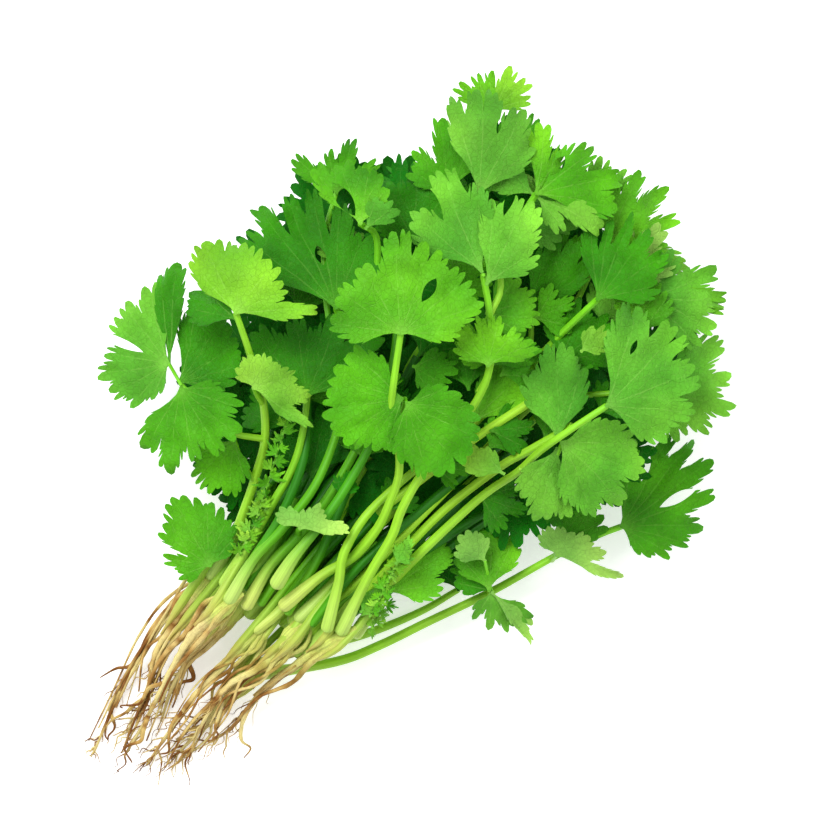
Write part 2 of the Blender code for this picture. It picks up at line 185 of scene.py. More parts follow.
PAINTED_SIDE_LIGHT = 0.10          # painted light: one side of a blade lighter, and painted shade on the other side
BLADE_NECK = (0.62, 0.86, 0.36)
BLADE_NECK_REACH = 0.25     # share of the blade's reach
BLADE_NECK_LEVEL = 0.3      # green of a tone without a pale neck
LIGHT_LEVEL = 1.3           # how much brighter than even light the lamps are
STEM_LIGHT = (0.69, 0.93, 0.21)
STEM_BASE = (0.81, 0.92, 0.49)
STEM_TOP = (0.50, 0.88, 0.12)
# colour of a stalk in painted shade
STEM_SHADE = (0.31, 0.69, 0.06)
# painted deep shade, which stalks darken to where they run into the bunch
STEM_PAINTED_DEEP_SHADE = (0.17, 0.52, 0.02)
NECK_TINT = (0.87, 0.93, 0.45)
PALE_BASES = 0.4            # share of the stalks with a base in the neck's tint
ROOT_CREAM = (1.0, 0.93, 0.62)
ROOT_TAN = (0.92, 0.74, 0.40)
ROOT_BROWN = (0.56, 0.35, 0.12)
FOOT_TINT = (0.82, 0.71, 0.38)
FOOT_GREEN = (0.70, 0.86, 0.30)
STALK_PAINTED_SHADE = {"middle_left": 0.4, "dark_left": 0.8, "shaded_left": 1.0, "bright_left": 0.8,
              "under_left": 0.9, "under_middle": 1.0, "under_far": 1.0, "edge_top": 0.7,
              "upper_right": 0.35}      # how far painted shade darkens a stalk towards STEM_SHADE; the other stalks get the plain amount
PLAIN_PAINTED_SHADE = 0.15
# Leaves on top, in light, and leaves in painted shade: each group gets its own copy of the leaf skin
BRIGHT_LEAVES = ("yellow_umbrella small_umbrella bright_left centre edge_top small_pale pale_edge "
                 "long_right").split()
DARK_LEAVES = ("dark_left dark_middle shaded_left edge_left behind_top right_dark right_shaded slotted "
               "under_left under_middle under_far outer_low right_edge edge_low_right").split()

# The surface that the bunch lies on, the lights and the camera
FLOOR_SIZE = 6.0
FLOOR_COLOUR = (0.88, 0.88, 0.88, 1)
FLOOR_GLOW = 0.42
SKY_STRENGTH = 0.73
WHITE = (1.0, 1.0, 1.0, 1)
MIDDLE = Vector((ORIGIN_SHIFT.x * MM, ORIGIN_SHIFT.y * MM, 0.0))
# Name, place from the middle of the bunch, size and power
LAMPS = [("key", (0.2, 0.9, 1.5), 0.9, 29.5), ("fill", (0.9, -0.6, 1.3), 1.2, 7)]
CAMERA_HEIGHT = 2.6
VIEW_WIDTH = 0.2484         # seen across the picture at the bunch
VIEW_LEVEL = 0.035          # the height at which that is measured
SENSOR = 36.0
VIEW_END = 20
ROLL = 51                   # degrees from the bunch's length to the picture's right

Lobe = namedtuple("Lobe", "direction length half_width slit")
Blade = namedtuple("Blade", "tone lobes at dip bite tooth droop cuts")
Leaf = namedtuple("Leaf", "dip blades")
Fork = namedtuple("Fork", "leaf route")
Stalk = namedtuple("Stalk", "name leaf route forks", defaults=((),))
Root = namedtuple("Root", "route side_roots green", defaults=(8.0,))


def blade(tone, *rows, slit=0.8, at=(0, 0, 0), dip=(0, 0), bite=1.0, tooth=1.0, droop=1.0, cuts=()):
    """A blade with lobes from rows of (direction, length, half width[, slit before the next lobe])."""
    lobes = [Lobe(*row, *([slit] if len(row) == 3 else [])) for row in rows]
    return Blade(tone, lobes, at, dip, bite, tooth, droop, cuts)


# Roots: the route of each, its side roots as (place along it, direction), and how far its neck is green
ROOTS = [
    Root([(-81, 17, 20), (-92, 17, 16), (-106, 15, 11), (-118, 9, 7), (-130, 7, 3)],
         [(0.45, 205), (0.75, 165)]),
    Root([(-79, 15, 7), (-90, 20, 8), (-104, 19, 7), (-119, 17, 4), (-141, 11, 1.5)],
         [(0.5, 160), (0.7, 205)]),
    Root([(-83, 8, 28), (-94, 10, 21), (-108, 8, 15), (-122, 5, 9), (-136, 3, 4)],
         [(0.55, 160), (0.75, 200)]),
    Root([(-81, 4, 14), (-90, 4, 11), (-100, 6, 8), (-110, 5, 5), (-121, 1, 2)],
         [(0.5, 200)], 14.0),
    Root([(-85, -4, 18), (-97, -3, 13), (-108, -2, 11), (-122, -3, 6), (-134, -4, 2)],
         [(0.6, 190)], 20.0),
    Root([(-75, -13, 23), (-88, -12, 18), (-99, -8, 15), (-112, -9, 9), (-124, -12, 4)],
         [(0.6, 205)], 28.0),
    Root([(-69, -24, 27), (-81, -20, 18), (-94, -17, 11), (-107, -17, 6), (-116, -15, 2)],
         [(0.7, 215)], 28.0),
    Root([(-95, -11, 6), (-105, -10, 5), (-114, -10, 3.5), (-127, -9, 1.5)],
         [(0.4, 165)], 20.0),
]

# Leaves with a CAD node: the way each dips, and its blades
LEAVES = {
    "yellow_umbrella": Leaf((70, 14), [
        blade("yellow", (-49, 24, 8, 0.68), (-26, 16, 14), (4, 18, 16), (34, 21, 14, 0.88),
              (62, 25, 14, 0.85), (80, 21, 8), slit=0.9),
        blade("deep", (88, 18, 16, 0.9), (112, 17, 14), at=(-1, -1, -2.5), dip=(100, 10))]),
    "left": Leaf((115, 20), [
        blade("light", (58, 26, 9, 0.75), (78, 24, 9), (94, 22.5, 8), (118, 20.5, 9), (136, 23, 9),
              (154, 20.5, 9, 0.78), (172, 18, 10, 0.75), (190, 11, 11), at=(2.6, 6.3, 1.5), tooth=1.25,
              cuts=[(105, 9, 25, 2.6)]),
        blade("deep", (35.5, 31, 6.5, 0.9), (46, 27, 5), at=(2.6, 6.3, 1), tooth=1.2),
        blade("deep", (-52, 14, 9), (-34, 19, 12), (-14, 20, 14), (8, 23, 14), (29, 25, 9), slit=0.9,
              at=(0, 1, -1.5), dip=(0, 12)),
        blade("mid", (-174, 22, 10, 0.78), (-151, 25, 11, 0.75), (-129, 22, 10), (-108, 23, 10, 0.82),
              (-89, 23, 10), (-69, 20, 10), (-51, 13, 9), at=(-1, -1, 0), bite=1.2)]),
    "small_umbrella": Leaf((-60, 18), [
        blade("lime", (-84, 20, 6, 0.8), (-62, 18, 9, 0.88), (-36, 13.5, 12), (0, 10, 18),
              (42, 9.5, 18), (80, 8, 14), slit=0.9, bite=0.7, tooth=0.7)]),
    "grey_left": Leaf((180, 8), [
        blade("mid", (152, 14, 12), (175, 17, 11), (191, 18, 9), (212, 17.5, 12), (235, 13, 10))]),
    "round_low": Leaf((80, 12), [
        blade("mid", (-5, 10, 13), (20, 14.5, 12), (44, 19, 12), (69, 23.5, 13, 0.85),
              (94, 19.5, 11, 0.55), (118, 14.5, 12, 0.8), (144, 10, 15), slit=0.9, droop=1.6)]),
    "dark_middle": Leaf((60, 8), [
        blade("deep", (-24, 20, 9), (-8, 29, 10, 0.7), (18, 26, 14, 0.75), (48, 24, 14, 0.75),
              (78, 26, 15))]),
    "dark_left": Leaf((60, 15), [
        blade("deep", (-3, 20, 13, 0.95), (20, 24, 12, 0.85), (39, 33, 8, 0.66), (51, 38.5, 7, 0.7),
              (63, 39.5, 7, 0.68), (76, 42.5, 7, 0.74), (90, 38, 8), bite=1.2,
              cuts=[(56, 14, 21, 3.2), (69.5, 27, 46, 2.4), (45, 23, 40, 2.2)])]),
    "edge_left": Leaf((60, 8), [
        blade("mid", (-12, 15, 13), (22, 18, 13), (50, 13, 13), (86, 17, 11), slit=0.62, bite=1.3,
              tooth=0.9)]),
    "bright_left": Leaf((60, 10), [
        blade("bright", (4, 13, 12), (32, 17, 13), (58, 20, 12), (80, 23, 8), slit=0.9, bite=0.8,
              cuts=[(73, 3, 16, 5)]),
        blade("light", (-18, 10, 16, 0.9), (20, 9, 14), at=(0, -2, -1))]),
    "small_pale": Leaf((-40, 10), [
        blade("pale", (-52, 15, 8, 0.85), (-20, 9, 18), (40, 5, 24), (90, 8, 16), slit=0.9, bite=0.5,
              tooth=0.7)]),
    "shaded_left": Leaf((50, 5), [
        blade("inner", (8, 17, 14), (40, 28, 12), (70, 20, 14), slit=0.6, bite=1.3)]),
    "centre_low": Leaf((180, 6), [
        blade("bright", (-24, 23, 9), (-6, 26, 10), (15, 19, 10), slit=0.92, bite=0.8)]),
    "upper_right": Leaf((-10, 15), [
        blade("bright", (8, 17, 9, 0.6), (29, 22, 12), at=(0, 0, -1.5), bite=1.4),
        blade("mid", (-58, 25, 10), (-38, 28, 11, 0.75), (-13, 22, 14), bite=1.2,
              cuts=[(-26, 16, 30, 3), (2, 7, 14, 3.5)]),
        blade("grey", (-106, 13, 15, 0.6), (-77, 22, 12), at=(0, -1, -2)),
        blade("grey", (84, 12, 13), (106, 15, 14), at=(0, 0, -2.2))]),
    "right_dark": Leaf((0, 10), [
        blade("deep", (-36, 19, 11), (-17, 25, 10, 0.75), (1, 27, 8, 0.66), (16, 29, 6.5, 0.6),
              (29, 26, 6, 0.58), (43, 24, 8), bite=1.1)]),
    "right_shaded": Leaf((30, 5), [
        blade("deep", (-36, 15, 9, 0.75), (-15, 25, 9), (2, 25, 8), (18, 23, 9), slit=0.85,
              at=(-2, 0, 0))]),
    "right_edge": Leaf((-30, 10), [
        blade("bright", (-54, 20, 9), (-34, 24, 10), (-12, 25, 11), (10, 23, 10, 0.7), (31, 18, 11),
              slit=0.65, bite=1.3),
        blade("grey", (-92, 20, 12), (-68, 23, 12), at=(1, -3, -1))]),
    "centre": Leaf((45, 4), [
        blade("bright", (-49, 18, 9), (-31, 25, 9, 0.9), (-10, 26, 14, 0.88), (20, 28, 12),
              (44, 30, 13, 0.7), (68, 23, 11), (94, 22, 15), (119, 21, 12), slit=0.85,
              cuts=[(6, 11, 20, 3.2), (57, 21, 34, 3), (30, 23, 32, 1.8)])]),
    "centre_pair": Leaf((-160, 8), [
        blade("mid", (86, 20, 13), (112, 22, 14, 0.93), (138, 23, 13, 0.93), (162, 22, 12),
              (184, 18, 11), (203, 16, 10), slit=0.9, at=(0, 1, 5.6), droop=0.7),
        blade("mid", (-160, 12, 8), (-143, 18.5, 8), (-125, 22, 9), (-103, 25, 13, 0.93),
              (-79, 23, 12, 0.93), (-55, 18, 12), (-30, 11, 12), slit=0.9, at=(0, -1, 6.2), droop=0.5)]),
    "top_pair": Leaf((50, 6), [
        blade("light", (41, 25, 9), (61, 33, 14, 0.75), (88, 27, 13), at=(0.5, 1, 0),
              cuts=[(74, 19, 32, 3.2), (50, 24, 36, 3)]),
        blade("light", (-16, 17.5, 13), (12, 28, 14), (34, 25, 8), slit=0.85, at=(-1.5, -2.5, 0),
              bite=1.1, cuts=[(24, 21, 32, 2.6)])]),
    "top_fan": Leaf((40, 12), [
        blade("grey", (-6, 22, 8), (12, 29, 11), (36, 33, 12), (54, 31, 6),
              cuts=[(24, 19, 24, 1.3), (47, 26, 36, 2.2)])]),
    "side_pair": Leaf((0, 5), [
        blade("bright", (22, 13, 10), (45, 14, 13, 0.7), (75, 16, 13), (101, 12, 12), (126, 8, 13),
              bite=1.1),
        blade("mid", (-42, 12, 8), (-27, 15, 9), (-8, 15, 10), at=(0, -1, -1))]),
    "long_right": Leaf((-20, 12), [
        blade("light", (-76, 21, 11), (-55, 26, 12), (-30, 30, 13, 0.78), (-5, 33, 13, 0.78),
              (20, 32, 12),
              cuts=[(7, 24, 38, 3.2), (14, 17, 22, 1.5), (-17, 24, 36, 2.6), (-43, 22, 32, 2.4)])]),
    "right_pair": Leaf((-60, 10), [
        blade("light", (18, 23, 9), (37, 29, 12), (60, 21, 13), slit=0.85, at=(0, 2, 0)),
        blade("light", (-132, 19, 8), (-114, 25, 9), (-93, 27, 10, 0.75), (-72, 26, 11, 0.9),
              (-51, 23, 12, 0.9), (-31, 16, 10), slit=0.85, at=(0, 0.5, 0.5)),
        blade("grey", (-180, 18, 12), (-155, 22, 12), (-133, 21, 10), slit=0.85, at=(-2, 0, -2),
              dip=(-150, 8))]),
    "slotted": Leaf((-40, 8), [
        blade("mid", (-98, 12, 10, 0.85), (-82, 17.5, 8), (-66, 21.5, 7, 0.82), (-49, 26, 8),
              (-31, 30.5, 7, 0.74), (-15, 34, 6.5, 0.74), (-2, 34, 5), (10, 31.5, 6), (31, 28, 8),
              slit=0.76, bite=1.15, tooth=1.3,
              cuts=[(-24, 13, 25, 3), (-8.5, 25, 38, 2.2), (4, 25, 38, 2.6), (15, 15, 23, 2.6)])]),
    "pale_edge": Leaf((-60, 22), [
        blade("pale", (-69, 24, 4, 0.7), (-52, 16.5, 8, 0.85), (-30, 12, 12), (8, 8, 18), (48, 8, 18),
              (80, 8, 12), slit=0.9, bite=0.7, tooth=0.8)]),
    "outer_small": Leaf((-110, 18), [
        blade("grey", (-176, 9, 14, 0.62), (-144, 10, 14), (-113, 13, 11, 0.6), (-92, 16, 10)),
        blade("pale", (-101, 21, 2.5, 0.9), (-90, 17, 8), at=(0, 0, 1), dip=(-10, 40)),
        blade("deep", (73, 12, 10, 0.7), (95, 13, 13), (122, 10, 13), at=(0, 0, -2)),
        blade("pale", (46, 8, 14), (76, 12, 13), (104, 10, 14), slit=0.85, at=(6.6, 9, 3), bite=0.7)]),
    "outer_low": Leaf((30, 5), [
        blade("dark", (12, 20, 14), (50, 19, 13), (84, 15, 14), slit=0.6, bite=1.3)]),
    "edge_right": Leaf((-30, 12), [
        blade("light", (-92, 20, 10), (-73, 22, 10), (-52, 24, 11), (-28, 23, 13, 0.7), (6, 16, 15),
              slit=0.75, bite=1.3),
        blade("yellow", (-60, 22.5, 4), (-48, 22.5, 5), at=(1, 0, 0.6), bite=1.2)]),
    "edge_low_right": Leaf((-50, 12), [
        blade("light", (-110, 17, 12, 0.75), (-86, 21, 12, 0.72), (-63, 24, 11), (-42, 24, 11),
              (-18, 26, 12), slit=0.7, bite=1.4)]),
    "edge_top": Leaf((40, 5), [
        blade("yellow", (-30, 12, 10), (-9, 15, 9, 0.7), (10, 15, 11), at=(0, 0, 1), bite=1.4),
        blade("bright", (40, 12, 8), (60, 12, 12), (90, 13, 12), bite=1.4)]),
    "behind_top": Leaf((60, 5), [
        blade("mid", (20, 18, 12, 0.7), (48, 23, 13, 0.6), (76, 18, 11), (98, 15, 11), bite=1.2)]),
    "under_left": Leaf((80, 3), [
        blade("dark", (25, 26, 24), (80, 30, 24), (148, 24, 28), slit=0.6)]),
    "under_middle": Leaf((0, 3), [
        blade("dark", (-62, 24, 25), (0, 22, 25), (62, 22, 25), slit=0.6)]),
    "under_far": Leaf((0, 3), [
        blade("dark", (-60, 28, 25), (5, 28, 25), (68, 28, 25), slit=0.6)]),
}

# Stalks: the route of each, the leaf at its end, and its forks with the leaves at theirs
STALKS = [
    Stalk("left", "yellow_umbrella", [
        (-76, 17, 22), (-66, 18, 24), (-56, 21, 26), (-45, 25, 29), (-34, 30, 35), (-25, 38, 43),
        (-17, 49, 52), (-10, 60, 58)], [
        Fork("left", [(-34, 30, 35), (-39, 40, 39), (-38, 52, 41), (-37, 60, 41)]),
        Fork("small_umbrella", [(-26, 37, 42), (-25, 40, 47), (-24, 42, 53)]),
        Fork("grey_left", [(-46, 24, 29), (-44, 31, 31), (-40, 37, 33)]),
        Fork("round_low", [(-68, 18, 24), (-71, 20, 27), (-74, 19, 29)])]),
    Stalk("middle_left", "dark_middle", [
        (-75, 12, 26), (-61, 14, 30), (-48, 16, 33), (-36, 18, 37), (-26, 22, 40), (-16, 28, 43)]),
    Stalk("dark_left", "dark_left", [
        (-78, 8, 30), (-64, 10, 33), (-50, 9, 36), (-33, 10, 38), (-14, 17, 38), (-2, 28, 38),
        (6, 33, 40), (10, 38, 46)], [
        Fork("edge_left", [(-3, 27, 38), (10, 42, 37), (24, 54, 34), (37, 60, 31)])]),
    Stalk("bright_left", "bright_left", [
        (-76, 3, 26), (-62, 5, 29), (-48, 4, 31), (-30, 5, 34), (-10, 10, 36), (8, 24, 38),
        (24, 34, 43), (34, 42, 48), (34, 48, 55)], [
        Fork("small_pale", [(-50, 4, 31), (-49, 5, 36), (-48, 5, 44)])]),
    Stalk("shaded_left", "shaded_left", [
        (-65, 0, 35), (-56, 1, 38), (-45, 1, 39), (-30, 2, 40), (-10, 6, 41), (12, 17, 41),
        (28, 29, 38), (36, 34, 38)]),
    Stalk("centre_low", "centre_low", [
        (-66, -20, 32), (-53, -14, 36), (-46, -10, 38), (-33, -8, 38), (-17, -10, 38), (-4, -13, 39),
        (9, -15, 41)]),
    Stalk("upper_right", "upper_right", [
        (-80, -4, 20), (-69, -6, 21), (-50, -4, 23), (-20, 2, 26), (10, 10, 31), (40, 12, 40),
        (62, 12, 47), (74, 13, 51)]),
    Stalk("right", "right_dark", [
        (-69, -12, 24), (-57, -13, 25), (-40, -13, 27), (-10, -14, 32), (20, -17, 34), (45, -19, 42),
        (61, -21, 50)], [
        Fork("right_shaded", [(32, -18, 37), (41, -12, 38), (47, -7, 41)]),
        Fork("right_edge", [(45, -19, 42), (60, -16, 37), (76, -12, 40)])]),
    Stalk("centre", "centre", [
        (-69, -6, 28), (-55, -9, 31), (-44, -13, 34), (-33, -13, 39), (-25, -11, 43), (-17, -8, 47),
        (-10, -2, 52), (-6, 4, 57), (1, 9, 62), (16, 18, 69)], [
        Fork("centre_pair", [(-12, -4, 50), (-5, 1, 52), (2, 5, 54)])]),
    Stalk("top", "top_pair", [
        (-64, -24, 30), (-46, -20, 37), (-33, -18, 40), (-24, -15, 43), (-11, -13, 45), (15, -12, 49),
        (28, -7, 53), (38, 2, 59), (45, 10, 63)], [
        Fork("top_fan", [(37, 1, 58), (46, 4, 57), (56, 16, 56), (63, 26, 55)]),
        Fork("side_pair", [(17, -11, 49), (22, -10, 48), (26, -8, 47)])]),
    Stalk("far_right", "long_right", [
        (-62, -28, 24), (-50, -27, 27), (-38, -27, 30), (-8, -31, 37), (6, -35, 42), (14, -36, 47),
        (22, -38, 53), (38, -43, 57)], [
        Fork("right_pair", [(7, -35, 43), (14, -41, 45), (21, -40, 47)])]),
    Stalk("outer", "slotted", [
        (-90, -14, 8), (-73, -29, 10), (-61, -36, 11), (-46, -43, 12), (-27, -52, 14), (-7, -60, 17),
        (6, -66, 19), (13, -70, 21)], [
        Fork("pale_edge", [(-8, -60, 17), (-7, -60, 21), (-6, -60, 25)]),
        Fork("outer_small", [(-28, -52, 14), (-27, -52, 18), (-27, -52, 21)])]),
    Stalk("outer_thin", "outer_low", [
        (-76, -19, 5), (-62, -30, 4), (-46, -39, 4), (-33, -44, 4)]),
    Stalk("edge_right", "edge_right", [
        (-72, -14, 15), (-55, -17, 18), (-40, -20, 20), (0, -27, 27), (35, -30, 33), (58, -32, 38),
        (71, -33, 41)], [
        Fork("edge_low_right", [(30, -29, 32), (42, -42, 35), (51, -52, 37)])]),
    Stalk("edge_top", "edge_top", [
        (-77, 11, 12), (-60, 11, 16), (-45, 10, 19), (0, 20, 24), (35, 30, 29), (60, 36, 32),
        (85, 39, 33)], [
        Fork("behind_top", [(35, 30, 29), (46, 31, 31), (54, 32, 34), (58, 33, 42)])]),
    Stalk("under_left", "under_left", [
        (-74, 14, 6), (-58, 17, 5), (-38, 24, 4), (-19, 34, 4)]),
    Stalk("under_middle", "under_middle", [
        (-74, -3, 8), (-50, 0, 6), (-20, 4, 5), (11, 6, 4)]),
    Stalk("under_far", "under_far", [
        (-75, 4, 14), (-50, 8, 12), (0, 14, 13), (24, 11, 11), (40, 8, 6), (54, 6, 4)]),
]

# Round leaves that only fill the inside of the bunch, dark with painted shade: (hub, reach)
INNER_LEAVES = [
    ((-44, 30, 20), 15), ((-28, 46, 20), 17), ((-36, 18, 21), 17), ((-12, 32, 26), 22),
    ((8, 52, 25), 22), ((32, 54, 23), 20), ((-20, 4, 26), 20), ((4, 20, 28), 24), ((28, 32, 30), 24),
    ((48, 41, 27), 15), ((72, 26, 25), 19), ((-34, -14, 20), 14), ((-8, -14, 28), 20),
    ((20, -2, 30), 24), ((46, 10, 32), 24), ((70, 4, 30), 21), ((0, -38, 22), 17), ((20, -30, 28), 22),
    ((44, -18, 31), 24), ((64, -18, 29), 20), ((26, -52, 22), 15), ((44, -42, 25), 18),
    ((-48, 4, 14), 14), ((-54, -8, 16), 11), ((-51, 22, 18), 9), ((64, -40, 27), 14),
    ((-26, 44, 17), 12), ((-14, -31, 18), 12), ((-20, -37, 14), 9), ((8, 21, 19), 10),
]

# More leaves that show between the others: the hub of each, and the leaf
EXTRA_LEAVES = {
    "grey_inner": ((64, 12, 47), Leaf((0, 6), [
        blade("grey", (-76, 14, 14), (-48, 18, 14), (-20, 15, 14))])),
    "grey_edge": ((68, -22, 44), Leaf((0, 8), [
        blade("pale", (-28, 19, 13), (-2, 22, 13), (24, 18, 13), slit=0.75, bite=1.2)])),
    "low_far": ((-2, -58, 23), Leaf((0, 4), [
        blade("mid", (-28, 14, 16), (4, 19, 16), (36, 18, 16), slit=0.75, bite=1.1)])),
    "over_stalk": ((25, -8, 59), Leaf((30, -10), [
        blade("bright", (-22, 15, 13), (3, 14, 11, 0.62), (26, 15.5, 11, 0.75), (47, 15, 10, 0.62),
              (72, 15.5, 13), (96, 11, 12), bite=1.1, tooth=0.9)])),
    "pale_right": ((46, -27, 54), Leaf((-10, 8), [
        blade("lime", (-38, 7, 16), (-10, 9.5, 14), (16, 7, 14), tooth=0.7)])),
    "outer_upright": ((-27, -51, 23.5), Leaf((40, -4), [
        blade("bright", (14, 17, 12), (36, 22, 12), (58, 20, 12, 0.85), (80, 14, 12), slit=0.88)])),
    "low_fold": ((3, -32, 51), Leaf((100, 3), [
        blade("lime", (82, 9, 16), (102, 14, 13), (120, 12, 9), slit=0.85, bite=0.7, tooth=0.8)])),
    "bright_inner": ((37, 2, 52), Leaf((-30, 8), [
        blade("bright", (-82, 11, 13), (-58, 15, 13), (-32, 16, 13), (-4, 15, 14))])),
    "frilly_low": ((-47, -27, 30), Leaf((0, 8), [
        blade("bright", (-44, 17, 14), (-16, 24, 14), (12, 23, 14), slit=0.75, bite=0.8, tooth=0.6)])),
    "frill_crown": ((-56, -25, 34), Leaf((0, 8), [
        blade("light", (-30, 5, 16), (0, 9, 10), (28, 6, 12), bite=0.7, tooth=0.4)])),
    "frill_stalk": ((-38, -24, 40), Leaf((0, 8), [
        blade("light", (-26, 5, 16), (4, 9, 10), (30, 5, 12), bite=0.7, tooth=0.4)])),
    "frill_middle": ((-33, 2, 40), Leaf((20, 8), [
        blade("dark", (-10, 6, 16), (22, 8, 12), (50, 6, 14), slit=0.7, bite=0.8, tooth=0.5)])),
    "teeth_middle": ((6, -24, 42), Leaf((0, 4), [
        blade("mid", (-30, 10, 16), (0, 12, 14), (30, 10, 14), tooth=0.7)])),
    "centre_shade": ((16, -8, 46), Leaf((40, 6), [
        blade("deep", (18, 14, 14), (46, 18, 14), (74, 16, 14), slit=0.78)])),
    "right_shade": ((60, -37, 45), Leaf((20, 6), [
        blade("bright", (0, 15, 14), (26, 19, 14), (54, 17, 14), slit=0.75, bite=1.2)])),
    "right_inner": ((40, -24, 43), Leaf((0, 6), [
        blade("deep", (-40, 17, 14), (-12, 20, 14), (16, 20, 14), (44, 16, 14), slit=0.75, bite=1.2)])),
    "top_shade": ((40, 32, 44), Leaf((60, 6), [
        blade("deep", (10, 18, 14), (38, 22, 14), (66, 20, 14), (94, 15, 14), slit=0.75)])),
    "left_shade": ((-26, 26, 36), Leaf((90, 6), [
        blade("deep", (50, 16, 15), (80, 18, 15), (110, 16, 15), slit=0.75)])),
    "left_inner": ((-34, 12, 32), Leaf((40, 4), [
        blade("dark", (0, 18, 14), (28, 21, 14), (56, 20, 14), (84, 16, 14), slit=0.75)])),
    "middle_inner": ((-14, 2, 38), Leaf((0, 4), [
        blade("dark", (-30, 18, 14), (-2, 21, 14), (26, 22, 14), (54, 18, 14), slit=0.75)])),
    "upper_edge": ((80, 0, 42), Leaf((0, 10), [
        blade("light", (-40, 15, 13), (-14, 18, 13), (12, 17, 13), slit=0.7, bite=1.3)])),
    "far_edge": ((72, 24, 38), Leaf((30, 6), [
        blade("mid", (-14, 17, 12), (10, 21, 12), (34, 20, 12), (58, 15, 12), slit=0.7, bite=1.3)])),
    "low_middle": ((14, -48, 34), Leaf((0, 6), [
        blade("deep", (-36, 13, 15), (-6, 16, 15), (24, 15, 15), slit=0.75, bite=1.1)])),
    "centre_gap": ((11, 9, 49), Leaf((0, 4), [
        blade("mid", (-108, 8, 14), (-82, 11, 14), (-55, 13, 12), (-28, 10, 14))])),
}


# Thin stalks that only fill the inside of the bunch
INNER_STALKS = [
    [(-72, 6, 24), (-50, 8, 27), (-24, 14, 29), (4, 26, 30)],
    [(-70, -8, 26), (-48, -4, 30), (-20, 4, 32), (14, 10, 33)],
    [(-68, -16, 26), (-46, -16, 32), (-20, -20, 34), (10, -26, 35)],
    [(-66, 10, 32), (-48, 12, 36), (-30, 18, 38), (-14, 30, 36)],
    [(-64, -22, 22), (-42, -24, 26), (-16, -26, 30), (16, -30, 32)],
    [(-70, 14, 20), (-52, 20, 22), (-34, 28, 24), (-16, 38, 25)],
]

# Light stalks beside the ones that carry the leaves on top
LIT_STALKS = [
    [(-66, -22, 22), (-44, -23, 28), (-18, -25, 33), (4, -30, 38), (14, -34, 42), (27, -39, 47)],
    [(-30, -10, 34), (-14, -14, 37), (5, -18.5, 40), (27, -25.5, 46)],
    [(-64, -17, 24), (-46, -19, 29), (-22, -21, 33), (0, -23, 34), (20, -25, 34), (36, -27, 31)],
]

# Rows of tiny frilled leaves along the stalks: (start, end, how many)
FRINGES = [
    ((-26, 28, 40), (-54, 17, 35), 13),
    ((-47, 19, 34), (-66, 14, 31), 11),
    ((-32, -23, 39), (-56, -28, 34), 17),
    ((-48, -29, 30), (-60, -31, 27), 8),
]


# Numbers, colours and routes

def direction(degrees):
    """Unit vector in the plan."""
    return Vector((math.cos(math.radians(degrees)), math.sin(math.radians(degrees)), 0.0))


def up(height):
    """Vector that points up."""
    return Vector((0, 0, height))


def ease(share):
    """From 0 to 1, slow at both ends."""
    share = min(max(share, 0.0), 1.0)
    return share * share * (3 - 2 * share)


def mix(a, b, share):
    """From colour or number a to b."""
    if isinstance(a, (int, float)):
        return a + (b - a) * share
    return tuple(x + (y - x) * share for x, y in zip(a, b))


def linear(colour):
    """A screen colour as Blender's linear one."""
    return tuple(c / 12.92 if c <= 0.04045 else ((c + 0.055) / 1.055) ** 2.4 for c in colour)


def smooth_route(points, step):
    """Points about step apart on the Catmull-Rom curve through the given points."""
    points = [Vector(p) for p in points]
    padded = [points[0] * 2 - points[1], *points, points[-1] * 2 - points[-2]]
    route = []
    for before, start, end, after in zip(padded, padded[1:], padded[2:], padded[3:]):
        pieces = max(1, round((end - start).length / step))
        for i in range(pieces):
            t = i / pieces
            route.append(0.5 * (2 * start + (end - before) * t
                                + (2 * before - 5 * start + 4 * end - after) * t ** 2
                                + (3 * start - before - 3 * end + after) * t ** 3))
    route.append(points[-1])
    return route


def distances(route):
    """Length along the route at each of its points."""
    lengths = [0.0]
    for a, b in zip(route, route[1:]):
        lengths.append(lengths[-1] + (b - a).length)
    return lengths


def place_on(route, share):
    """The route's point at a share of it."""
    return route[round(share * (len(route) - 1))]


def heading_at(route, number):
    """Unit vector along the route at one of its points."""
    return (route[min(number + 1, len(route) - 1)] - route[max(number - 1, 0)]).normalized()


class Piece:
    """The growing mesh of one piece, with a tint and a few numbers for its shader at each vertex."""

    def __init__(self):
        self.vertices, self.faces = [], []
        self.tints, self.flats, self.veins, self.unders = [], [], [], []

    def vertex(self, place, tint, flat=(0, 0, 0), vein=0.0, under=0.0):
        """Add a vertex and return its number. The place is in layout millimetres."""
        self.vertices.append((Vector(place) + ORIGIN_SHIFT) * MM)
        self.tints.append((*(c / LIGHT_LEVEL for c in linear(tint)), 1.0))
        self.flats.append(tuple(flat))
        self.veins.append(vein)
        self.unders.append(under)
        return len(self.vertices) - 1

    def finish(self, name, slot, replaced=()):
        """Make the object, and let it ride on the bunch's body."""
        mesh = bpy.data.meshes.new(name)
        mesh.from_pydata(self.vertices, [], self.faces)
        for label, kind, field, values in (
            ("tint", "FLOAT_COLOR", "color", [x for t in self.tints for x in t]),
            ("flat", "FLOAT_VECTOR", "vector", [x for f in self.flats for x in f]),
            ("vein", "FLOAT", "value", self.veins),
            ("under", "FLOAT", "value", self.unders),
        ):
            mesh.attributes.new(label, kind, "POINT").data.foreach_set(field, values)
        mesh.shade_smooth()
        mesh.set_sharp_from_angle(angle=math.radians(55))
        mesh.materials.append(MATERIALS[slot])
        made = bpy.data.objects.new(name, mesh)
        bpy.context.scene.collection.objects.link(made)
        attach(made, "root")
        if replaced:
            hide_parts(*replaced)


# Blades

